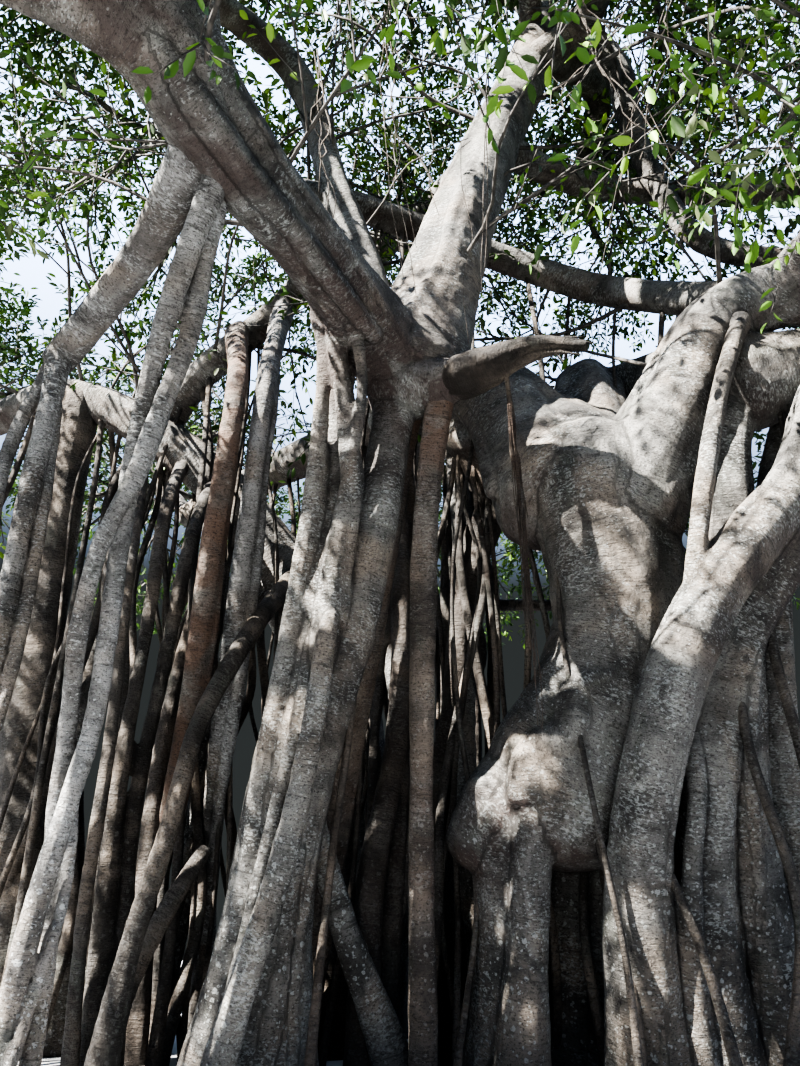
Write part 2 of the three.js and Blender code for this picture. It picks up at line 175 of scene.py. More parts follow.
# The strands of each trunk, bough and root: the radius at both ends, and the path
WOOD = {
    "trunk_main": [
        strand(0.53, 0.33, (0, 0, 0), (0.06, -0.13, 1.4), (0.32, -0.42, 3.1), (0.56, -0.95, 5.3),
               (0.8, -1.5, 6.95)),
        strand(0.33, 0.27, (0.12, -0.15, 1.3), (0.56, -0.38, 3.1), (1.13, -0.74, 5.4),
               (1.45, -0.9, 6.9)),
        strand(0.105, 0.13, (0.76, -0.96, 3.9), (0.56, -0.88, 2.5), (0.14, -0.76, 1.0),
               (-0.06, -0.7, 0)),
    ],
    "trunk_right": [
        strand(0.9, 0.76, (3.05, 0.25, 2.15), (3.45, -0.06, 3.2), (3.7, -0.4, 4.8),
               (3.48, -0.52, 5.9)),
        strand(0.56, 0.33, (3.1, 0.1, 2.9), (2.5, 0.08, 2.45), (2.08, 0.15, 2.05)),
        strand(0.33, 0.29, (2.48, 0.06, 2.5), (2.5, 0.06, 1.5), (2.43, 0.25, 0)),
        strand(0.23, 0.21, (3.25, 0.56, 2.2), (3.2, 0.7, 1.2), (3.1, 0.82, 0)),
        strand(0.24, 0.23, (3.7, 0.45, 2.3), (3.6, 0.56, 1.3), (3.48, 0.76, 0)),
        strand(0.26, 0.26, (2.6, 0.7, 2.5), (2.5, 1.15, 1.3), (2.4, 1.5, 0)),
    ],
    "trunk_back": [
        strand(0.62, 0.52, (1.0, 4.6, 0), (0.8, 4.2, 2.0), (0.5, 3.2, 4.3), (-0.06, 2.0, 5.5)),
        strand(0.3, 0.26, (1.9, 4.3, 0), (1.5, 4.0, 2.2), (0.5, 3.3, 4.5)),
    ],
    "bough_left": [
        strand(0.47, 0.26, (1.48, -0.9, 6.85), (0.83, -1.84, 7.28), (0.23, -2.78, 7.45),
               (-0.56, -4.2, 7.9), into("low_8")),
    ],
    "bough_up": [
        strand(0.52, 0.23, (1.55, -0.88, 6.9), (2.69, -0.5, 10.9), (3.56, -0.15, 13.7),
               (3.5, 0.05, 15.2), into("top_1")),
    ],
    "dead_stub": [
        strand(0.24, 0.06, (1.5, -0.95, 6.75), (1.96, -1.3, 6.7), (2.49, -1.56, 6.64),
               (3.38, -1.94, 6.51), young=0.7),
    ],
    "bough_right": [
        strand(0.52, 0.23, (3.9, -0.5, 5.4), (4.4, -0.76, 6.3), (5.24, -1.04, 7.6),
               (7.0, -1.3, 8.0), into("low_1")),
    ],
    "bough_right_hub": [
        strand(0.43, 0.23, (5.3, -0.9, 6.75), (6.3, -1.0, 6.95), (7.8, -0.2, 7.7), into("low_2"))],
    "bough_back": [
        strand(0.52, 0.23, (3.8, -0.2, 5.6), (3.96, 0.7, 7.7), (5.0, 3.6, 8.7), into("low_3"))],
    "bough_back_left": [
        strand(0.6, 0.23, (3.25, -0.3, 5.7), (2.51, 0.49, 7.6), (0.3, 3.7, 8.7), into("low_5"))],
    "bough_far_left": [
        strand(0.4, 0.23, (-0.06, 2.0, 5.4), (-1.16, 1.62, 6.88), (-3.38, 1.69, 8.3),
               into("low_6"))],
    "bough_back_middle": [strand(0.3, 0.21, (1.3, 2.2, 8.35), (1.7, 4.2, 9.1), into("low_4"))],
    "bough_left_side": [strand(0.33, 0.21, (-0.3, -3.7, 7.7), (-2.6, -3.9, 8.5), into("low_7"))],
    "bough_front": [strand(0.3, 0.21, (-0.25, -3.6, 7.7), (-0.15, -4.7, 8.8), into("low_9"))],
    "bough_front_right": [strand(0.3, 0.21, (5.8, -1.12, 7.75), (6.3, -2.8, 8.3), into("low_10"))],
    "bough_up_low": [
        strand(0.2, 0.15, (2.72, -0.49, 11.0), (4.3, 0.4, 11.18), (6.95, -0.24, 10.4),
               (8.3, -0.9, 10.0))],
    "bough_up_right": [strand(0.26, 0.2, (3.5, -0.18, 13.5), (4.84, 1.12, 14.0), into("middle_1"))],
    "bough_up_back": [strand(0.26, 0.2, (2.8, -0.45, 11.3), (2.6, 0.9, 12.2), into("middle_2"))],
    "bough_up_left": [
        strand(0.23, 0.2, (1.33, -0.75, 7.1), (1.08, -0.34, 8.7), (0.57, -0.27, 10.4),
               (-0.22, -0.32, 12.9), into("middle_4")),
    ],
    "bough_up_front": [strand(0.24, 0.2, (3.0, -0.38, 11.9), (2.9, -1.5, 12.9), into("middle_5"))],
    "bough_up_side": [strand(0.24, 0.2, (3.25, -0.28, 12.7), (4.1, -0.7, 13.2), into("middle_6"))],
    "bridge_right": [
        strand(0.23, 0.17, (5.5, -1.0, 7.8), (4.25, 0.45, 9.26), (3.12, 0.62, 9.9),
               (0.64, 0, 10.45), into("middle_3")),
    ],
    "bridge_left": [
        strand(0.25, 0.17, (-2.17, 1.65, 7.6), (-1.39, 1.25, 8.45), (-0.05, 0.75, 9.5),
               (0.62, -0.25, 10.35))],
    "bough_left_low": [
        strand(0.26, 0.21, (-0.38, -3.3, 7.5), (-1.11, -2.25, 7.44), (-2.21, -1.32, 6.85))],
    "roots_right": [
        strand(0.25, 0.3, (6.1, -1.1, 6.9), (5.45, -1.35, 5.43), (4.36, -1.33, 4.1),
               (3.8, -1.06, 2.9), (3.58, -0.56, 1.5), (3.65, -0.15, 0)),
        strand(0.23, 0.27, (5.45, -1.2, 4.9), (4.76, -0.83, 3.77), (4.33, -0.64, 2.5),
               (4.23, -0.4, 1.5), (4.25, -0.15, 0)),
        strand(0.21, 0.27, (5.7, -0.96, 6.8), (5.15, -0.9, 6.4), (4.87, -0.85, 5.0),
               (4.74, -0.8, 3.6), (4.7, -0.48, 2.4), (4.85, -0.1, 0)),
        strand(0.17, 0.21, (6.0, -0.8, 6.8), (5.56, -0.62, 5.7), (5.2, -0.64, 3.9),
               (5.2, -0.26, 2.4), (5.45, 0.1, 0)),
        strand(0.095, 0.095, (5.18, -1.33, 7.3), (4.8, -1.42, 6.4), (4.44, -1.48, 5.3),
               (4.15, -1.33, 4.0)),
    ],
    "pillar_left": [
        strand(0.23, 0.215, (-0.18, -3.15, 7.4), (-0.6, -2.56, 5.9), (-1.01, -2.16, 4.3),
               (-1.25, -1.62, 2.3), (-1.37, -1.56, 0)),
        strand(0.12, 0.16, (-0.42, -2.9, 6.9), (-0.62, -2.5, 5.3), (-0.82, -2.13, 4.4),
               (-1.15, -1.75, 2.7), (-1.3, -1.65, 1.2)),
    ],
    "pillar_far_left": [
        strand(0.2, 0.19, (-2.21, -1.32, 6.85), (-2.26, -1.15, 5.7), (-2.4, -0.87, 3.6),
               (-2.9, -0.3, 0)),
        strand(0.07, 0.09, (-2.33, -1.25, 6.7), (-2.65, -1.1, 5.8), (-2.7, -0.85, 3.6),
               (-3.0, -0.25, 0.9)),
    ],
    "pillar_brown": [
        strand(0.15, 0.19, (-0.9, 1.0, 8.9), (-0.48, -0.4, 6.9), (-0.66, -0.05, 4.98),
               (-1.0, 0.85, 2.7), (-1.65, 1.9, 0), young=0.9),
    ],
    "pillar_grey": [
        strand(0.15, 0.19, (-0.26, 0.9, 9.3), (-0.15, -0.25, 6.95), (-0.38, 0.4, 4.7),
               (-0.62, 1.0, 2.9), (-0.9, 2.3, 0)),
    ],
    "pillar_centre": [
        strand(0.15, 0.175, (1.92, -1.25, 6.7), (1.77, -0.85, 5.5), (1.7, -0.41, 3.3), (1.68, 0, 0),
               young=0.1),
    ],
    "root_diagonal": [
        strand(0.145, 0.16, (1.56, -0.85, 6.65), (1.29, -0.33, 4.87), (0.92, 0.26, 3.05),
               (0.48, 1.4, 0), young=0.35),
    ],
    "root_pole": [strand(0.13, 0.15, (0.45, -0.1, 2.6), (0.92, 0.19, 1.24), (1.4, 0.35, 0))],
}

# Where on each bough the propping roots drop, as shares of its length
PROPPED = {
    "bough_far_left": (0.3, 0.5, 0.7),
    "bough_back_left": (0.3, 0.45, 0.68),
    "bough_back": (0.45, 0.72),
    "bough_right_hub": (0.6,),
    "bough_left_side": (0.6,),
}


def centre_line(s):
    """Points close together along the strand's curve, run on below the ground at a foot."""
    points = [p.copy() for p in s["path"]]
    if points[0][2] == 0:
        points.insert(0, points[0] * (1, 1, 0) - (0, 0, UNDERGROUND))
    if points[-1][2] == 0:
        points.append(points[-1] * (1, 1, 0) - (0, 0, UNDERGROUND))
    ends = [2 * points[0] - points[1], *points, 2 * points[-1] - points[-2]]
    curve = []
    for p0, p1, p2, p3 in zip(ends, ends[1:], ends[2:], ends[3:]):
        spans = ((p0, p1), (p1, p2), (p2, p3))
        d0, d1, d2 = (math.sqrt(max(np.linalg.norm(b - a), 1e-4)) for a, b in spans)
        m1 = ((p1 - p0) / d0 - (p2 - p0) / (d0 + d1) + (p2 - p1) / d1) * d1
        m2 = ((p2 - p1) / d1 - (p3 - p1) / (d1 + d2) + (p3 - p2) / d2) * d1
        t = np.linspace(0, 1, CURVE_STEPS + 1)[:-1, None]
        square, cube = 3 * (p2 - p1) - 2 * m1 - m2, 2 * (p1 - p2) + m1 + m2
        curve.append(p1 + m1 * t + square * t**2 + cube * t**3)
    return np.vstack([*curve, points[-1][None]])


def lengths_of(curve):
    """How far along the curve each of its points lies."""
    return np.concatenate([[0], np.cumsum(np.linalg.norm(np.diff(curve, axis=0), axis=1))])


def even_steps(curve, step):
    """The curve at even steps, with each point's distance along it."""
    lengths = lengths_of(curve)
    count = max(4, math.ceil(lengths[-1] / step))
    along = np.linspace(0, lengths[-1], count + 1)
    return np.stack([np.interp(along, lengths, curve[:, k]) for k in range(3)], axis=1), along


def frames(points):
    """Directions along the curve and two square to it that don't spin round it."""
    tangent = unit(np.gradient(points, axis=0))
    first = np.cross(tangent[0], (0.31, 0.17, 0.05) if abs(tangent[0][2]) > 0.7 else (0, 0, 1))
    normals = [first / np.linalg.norm(first)]
    for t in tangent[1:]:
        n = normals[-1] - t * normals[-1].dot(t)
        normals.append(n / np.linalg.norm(n))
    normal = np.array(normals)
    return tangent, normal, np.cross(tangent, normal)


def radius_along(s, points, along):
    """The strand's radius at points on its curve."""
    foot_first, foot_last = s["path"][0][2] == 0, s["path"][-1][2] == 0
    if "radii" in s:
        radii = list(s["radii"])
        if foot_first:
            radii.insert(0, radii[0])
        if foot_last:
            radii.append(radii[-1])
        return np.interp(along, lengths_of(centre_line(s))[::CURVE_STEPS], radii)
    radius = lerp(s["start"], s["end"], along / along[-1])
    if not foot_first and not s["plain"]:
        radius = radius * (1 + COLLAR * np.exp(-along / (COLLAR_REACH * s["start"])))
    if foot_first or foot_last:
        height = np.maximum(points[:, 2], 0)
        radius = radius * (1 + ROOT_FLARE * np.exp(-height / ROOT_FLARE_HEIGHT))
    return radius


def add_props():
    """Propping roots drop from their bough, with the same sway as the solids'."""
    sway = lcg(PROP_SEED)
    for bough, places in PROPPED.items():
        curve, _ = even_steps(centre_line(WOOD[bough][0]), PROP_STEP)
        for i, place in enumerate(places):
            top = curve[round(place * (len(curve) - 1))]
            radius = lerp(*PILLAR_RADIUS, sway())
            path = [top]
            for bend in PROP_BENDS:
                x = top[0] + (sway() * 2 - 1) * PILLAR_SWAY
                y = top[1] + (sway() * 2 - 1) * PILLAR_SWAY
                path.append((x, y, top[2] * bend))
            name = f"prop_{bough.replace('bough_', '')}_{i + 1}"
            WOOD[name] = [strand(radius * PROP_TOP, radius, *path)]


add_props()


def noise(p, seed):
    """Smooth random numbers from -1 to 1 at each point."""
    cell = np.floor(p).astype(np.int64)
    f = p - cell
    f = f * f * (3 - 2 * f)
    total = np.zeros(len(p))
    for dx, dy, dz in np.ndindex(2, 2, 2):
        h = (cell[:, 0] + dx) * 73856093 ^ (cell[:, 1] + dy) * 19349663
        h = ((h ^ (cell[:, 2] + dz) * 83492791) + seed * 2654435761) & 0xFFFFFFFF
        h = ((h ^ (h >> 15)) * 2246822519) & 0xFFFFFFFF
        h = ((h ^ (h >> 13)) * 3266489917) & 0xFFFFFFFF
        value = ((h >> 8) & 0xFFFF) / 32767.5 - 1
        weight = (f[:, 0] if dx else 1 - f[:, 0]) * (f[:, 1] if dy else 1 - f[:, 1])
        total += value * weight * (f[:, 2] if dz else 1 - f[:, 2])
    return total


def relief(place, kind, share=1.0):
    """How far one kind of relief lifts the skin at each place."""
    scale, seed, depth = kind
    return share * depth * noise(place * scale, seed)


def round_ends(rings):
    """The same rings with a few more that close each end above the ground in a low dome."""
    whole = {key: [value] for key, value in rings.items()}
    for end, sign in ((0, -1), (-1, 1)):
        ring = {key: value[end] for key, value in rings.items()}
        if ring["points"][2] < 0:
            continue
        size = ring["radius"].mean() * END_LENGTH
        for degrees in END_ROUNDS:
            reach = sign * size * math.sin(math.radians(degrees))
            extra = dict(
                ring,
                points=ring["points"] + ring["tangent"] * reach,
                along=ring["along"] + reach,
                radius=ring["radius"] * math.cos(math.radians(degrees)),
            )
            for key, value in extra.items():
                whole[key].insert(0 if sign < 0 else len(whole[key]), value[None])
    return {key: np.concatenate(values) for key, values in whole.items()}


def hash_number(p):
    return abs(math.sin(p[0] * 12.9898 + p[1] * 78.233 + p[2] * 37.719)) * 43.7585 % 1


def skin(strands, sides=SIDES, step=RING_STEP):
    """The strands' plain skins in one: points, quads, end caps, what is known of each ring of
    points, and the ring that each quad starts from."""
    angle = np.linspace(0, 2 * math.pi, sides, endpoint=False)
    cos, sin = np.cos(angle)[None, :, None], np.sin(angle)[None, :, None]
    points, quads, caps, rings, quad_rings = [], [], [], [], []
    count = 0
    for s in strands:
        middle, along = even_steps(centre_line(s), step)
        tangent, normal, binormal = frames(middle)
        turn = (hash_number(middle[0]) * 7) % 6.28
        waves = np.cos(3 * angle[None, :] + turn + along[:, None] * 0.5)
        waves = waves + 0.6 * np.cos(5 * angle[None, :] - along[:, None] * 0.7)
        radius = radius_along(s, middle, along)[:, None] * (1 + LOBES * waves)
        known = dict(points=middle, along=along, tangent=tangent, normal=normal, binormal=binormal)
        known = round_ends(dict(known, radius=radius))
        out = cos * known["normal"][:, None, :] + sin * known["binormal"][:, None, :]
        out = known["points"][:, None, :] + out * known["radius"][:, :, None]
        points.append(out.reshape(-1, 3))
        n = len(known["points"])
        index = (count + np.arange(n))[:, None] * sides + np.arange(sides)
        after = np.roll(index, -1, axis=1)
        corners = [index[:-1], after[:-1], after[1:], index[1:]]
        quads.append(np.stack(corners, axis=2).reshape(-1, 4))
        caps += [index[0][::-1], index[-1]]
        quad_rings.append(np.repeat(count + np.arange(n - 1), sides))
        rings.append(dict(known, radius=known["radius"].mean(axis=1), young=np.full(n, s["young"])))
        count += n
    rings = {key: np.concatenate([r[key] for r in rings]) for key in rings[0]}
    return np.vstack(points), np.vstack(quads), np.array(caps), rings, np.concatenate(quad_rings)


def mesh_from_arrays(name, points, *faces, tones=None):
    """A mesh from arrays of faces, each array with one number of corners."""
    mesh = bpy.data.meshes.new(name)
    mesh.vertices.add(len(points))
    mesh.vertices.foreach_set("co", np.ascontiguousarray(points, dtype=np.float32).reshape(-1))
    corners = np.concatenate([f.reshape(-1) for f in faces]).astype(np.int32)
    sizes = np.concatenate([np.full(len(f), f.shape[1]) for f in faces])
    mesh.loops.add(len(corners))
    mesh.loops.foreach_set("vertex_index", corners)
    mesh.polygons.add(len(sizes))
    starts = np.concatenate([[0], np.cumsum(sizes)[:-1]]).astype(np.int32)
    mesh.polygons.foreach_set("loop_start", starts)
    if tones is not None:
        mesh.polygons.foreach_set("material_index", tones.astype(np.int32))
    mesh.update(calc_edges=True)
    mesh.validate()
    piece = bpy.data.objects.new(name, mesh)
    bpy.context.scene.collection.objects.link(piece)
    return piece


def apply_modifiers(piece):
    """Makes the modifiers part of the piece's mesh."""
    graph = bpy.context.evaluated_depsgraph_get()
    mesh = bpy.data.meshes.new_from_object(piece.evaluated_get(graph))
    old = piece.data
    piece.modifiers.clear()
    piece.data = mesh
    bpy.data.meshes.remove(old)


def vectors(items, key):
    """One row of three numbers for each item."""
    flat = np.empty(len(items) * 3, dtype=np.float32)
    items.foreach_get(key, flat)
    return flat.reshape(-1, 3).astype(float)


EVENING = 0.6  # how far one round goes


def evened(mesh, values, rounds):
    """Values at the points of a mesh, each drawn towards its neighbours' mean a few times."""
    pairs = np.empty(len(mesh.edges) * 2, dtype=np.int32)
    mesh.edges.foreach_get("vertices", pairs)
    a, b = pairs[0::2], pairs[1::2]
    count = np.maximum(np.bincount(pairs, minlength=len(values)), 1)
    for _ in range(rounds):
        total = np.bincount(a, values[b], len(values)) + np.bincount(b, values[a], len(values))
        values = (1 - EVENING) * values + EVENING * total / count
    return values


def mark_bark(mesh, limb, young):
    """Smooth shading, and what the bark's materials read at each point: its place across and along
     its own limb, and how young the bark is; on fused wood that number also holds the red painted
     shade of the undersides."""
    rows = (("limb", "FLOAT_VECTOR", "vector", limb), ("young", "FLOAT", "value", young))
    for name, kind, key, values in rows:
        data = mesh.attributes.new(name, kind, "POINT").data
        data.foreach_set(key, values.reshape(-1).astype(np.float32))
    mesh.polygons.foreach_set("use_smooth", np.ones(len(mesh.polygons), dtype=bool))


def fused(name, strands, voxel):
    """The strands grown together in one skin, flat at the ground, with the bark's relief."""
    points, quads, caps, rings, quad_rings = skin(strands)
    piece = mesh_from_arrays(name, points, quads, caps)
    remesh = piece.modifiers.new("fuse", "REMESH")
    remesh.mode = "VOXEL"
    remesh.voxel_size = voxel
    smooth = piece.modifiers.new("soften", "SMOOTH")
    smooth.factor, smooth.iterations = SOFTENING
    apply_modifiers(piece)
    mesh = piece.data
    co, no = vectors(mesh.vertices, "co"), vectors(mesh.vertex_normals, "vector")

    # Where each point lies along and round its own limb
    tree = BVHTree.FromPolygons(points.tolist(), quads.tolist())
    nearest = np.array([tree.find_nearest(p)[2] for p in co.tolist()], dtype=np.int64)
    ring = {key: values[quad_rings[nearest]] for key, values in rings.items()}
    out = co - ring["points"]
    u, v, forward = ((out * ring[key]).sum(axis=1) for key in ("normal", "binormal", "tangent"))
    limb = np.stack([u, v, ring["along"] + forward], axis=1)

    thick = np.clip(ring["radius"] / FULL_RELIEF_RADIUS, *RELIEF_SHARES)
    lift = evened(mesh, thick * (relief(limb, FLUTES) + relief(limb, SWELLINGS)), BROAD_ROUNDS)
    lift = lift + evened(mesh, relief(limb, WRINKLES, thick), WRINKLE_ROUNDS)
    lift = lift + relief(co, LUMPS) + relief(limb, GRAIN)
    co = co + no * lift[:, None]
    co[:, 2] = np.maximum(co[:, 2], 0)
    mesh.vertices.foreach_set("co", co.reshape(-1).astype(np.float32))
    # The bark's youth, with the red painted shade under the fork and the left bough added in
    mark_bark(mesh, limb, np.clip(ring["young"] + underside_red_and_shade(co, no), 0, 1))
    mesh.update()
    return piece


# Under the fork of the main trunk and under the left bough the bark is reddish brown, partly its
# own colour and partly painted shade
RED_AND_SHADE_UNDERSIDES = (((1.55, -1.05, 6.6), 1.0), ((0.75, -1.8, 6.95), 0.75), ((2.3, 0.1, 2.1), 0.8))
RED_EDGE = 1.4  # where a place's red ends, in its reaches
RED_STEEPEST = 0.75  # upward slope at which no red is left


def underside_red_and_shade(co, no):
    """How ruddy the bark is at each point for lying under one of those places, partly its own red
    and partly painted shade.
    """
    red = np.zeros(len(co))
    for place, reach in RED_AND_SHADE_UNDERSIDES:
        distance = np.linalg.norm(co - np.array(place), axis=1)
        near = np.clip(RED_EDGE - distance / reach, 0, 1)
        red = np.maximum(red, near * np.clip(RED_STEEPEST - no[:, 2], 0, 1))
    return red


WOUND_SPACING = 0.6  # stray of the strands round the limb, as a share of their spacing
WOUND_TURNS = (0.6, 1.3)
WOUND_WIDTHS = (0.75, 1.25)
WOUND_PLACES = np.linspace(0.02, 1, 11)
WOUND_WAVER = 0.25  # radians
WOUND_INNERMOST = 0.6  # least distance from the middle, in widths
WOUND_DEPTHS = (0.92, 1.05)
WOUND_TAPER = 0.85


def wound(s, count, width, turns, out_by, seed):
    """Strands that wind along another one, standing out of its surface by a share of their own
    radius. They show only in the bark's relief."""
    draw = random.Random(seed)
    curve, along = even_steps(centre_line(s), FINE_STEP)
    _, normal, binormal = frames(curve)
    radius = radius_along(s, curve, along)
    last = len(curve) - 1
    strands = []
    for i in range(count):
        phase = 2 * math.pi * (i + draw.random() * WOUND_SPACING) / count
        spin = turns * 2 * math.pi * draw.uniform(*WOUND_TURNS)
        thickness = width * draw.uniform(*WOUND_WIDTHS)
        path = []
        for share in WOUND_PLACES:
            at = round(share * last)
            angle = phase + spin * share + draw.uniform(-WOUND_WAVER, WOUND_WAVER)
            out = math.cos(angle) * normal[at] + math.sin(angle) * binormal[at]
            depth = max(radius[at] - thickness * (1 - out_by), thickness * WOUND_INNERMOST)
            path.append(curve[at] + out * depth * draw.uniform(*WOUND_DEPTHS))
        tip = thickness * WOUND_TAPER
        strands.append(strand(thickness, tip, *path, young=s["young"], plain=True))
    return strands


# Roots that hang from a bough and have reached the ground, thinner than the props: how many, the
# stretch of the bough that they hang from, and how far they lean from it
DROPPED = {
    "bough_back_left": (34, (0.05, 0.85), 1.1),
    "bough_far_left": (30, (0.05, 0.85), 0.9),
    "bough_back": (14, (0.12, 0.8), 0.8),
    "bough_right_hub": (8, (0.3, 0.95), 0.6),
    "bough_right": (5, (0.4, 0.9), 0.5),
    "bridge_left": (9, (0.05, 0.6), 0.8),
    "bridge_right": (8, (0.05, 0.6), 0.8),
    "bough_left_side": (4, (0.35, 0.95), 0.4),
    "bough_back_middle": (6, (0.1, 0.9), 0.8),
}
DROPPED_RADIUS = (0.028, 0.085)
DROPPED_BENDS = (0.84, 0.66, 0.5, 0.34, 0.17, 0)
DROPPED_STRAY = 0.16
DROPPED_YOUTH = (0.0, 0.0, 0.1, 0.35)  # how red each root is, drawn for each
DROPPED_THINNESS = 1.6  # above 1 most of them are thin
DROPPED_TOP = 0.7  # radius at the bough, as a share of the foot's
HANGING_REACH = (0.55, 1)
HANGING_PLACES = np.linspace(0, 1, 9)
HANGING_WAVER = 0.45  # share of the bundle's spread
HANGING_WIDTHS = (0.6, 1.3)
HANGING_TAPER = 0.5


def sideways(draw, by):
    """A random level step of up to so much each way."""
    return np.array([draw.uniform(-by, by), draw.uniform(-by, by), 0])


def dropped_roots():
    draw = random.Random(7)
    strands = []
    for bough, (count, (first, last), lean_by) in DROPPED.items():
        curve, _ = even_steps(centre_line(WOOD[bough][0]), BOUGH_STEP)
        for i in range(count):
            share = lerp(first, last, (i + draw.random()) / count)
            top = curve[round(share * (len(curve) - 1))]
            radius = lerp(*DROPPED_RADIUS, draw.random() ** DROPPED_THINNESS)
            lean = sideways(draw, lean_by)
            path = [top]
            for height in DROPPED_BENDS:
                place = top * (1, 1, height) + lean * (1 - height) ** 0.7
                path.append(place + sideways(draw, DROPPED_STRAY))
            young = draw.choice(DROPPED_YOUTH)
            strands.append(strand(radius * DROPPED_TOP, radius, *path, young=young))
    return strands


def hanging(top, bottom, count, spread, radius, seed, young):
    """A bundle of thin roots between two heights that don't reach the ground."""
    draw = random.Random(seed)
    top, bottom = np.array(top, float), np.array(bottom, float)
    strands = []
    for _ in range(count):
        reach = draw.uniform(*HANGING_REACH)
        aside = sideways(draw, spread)
        path = []
        for share in HANGING_PLACES:
            waver = sideways(draw, 1) * spread * HANGING_WAVER * min(1, share * 4)
            path.append(lerp(top, bottom, share * reach) + aside * (0.4 + 0.6 * share) + waver)
        thickness = radius * draw.uniform(*HANGING_WIDTHS)
        tip = thickness * HANGING_TAPER
        strands.append(strand(thickness, tip, *path, young=young, plain=True))
    return strands


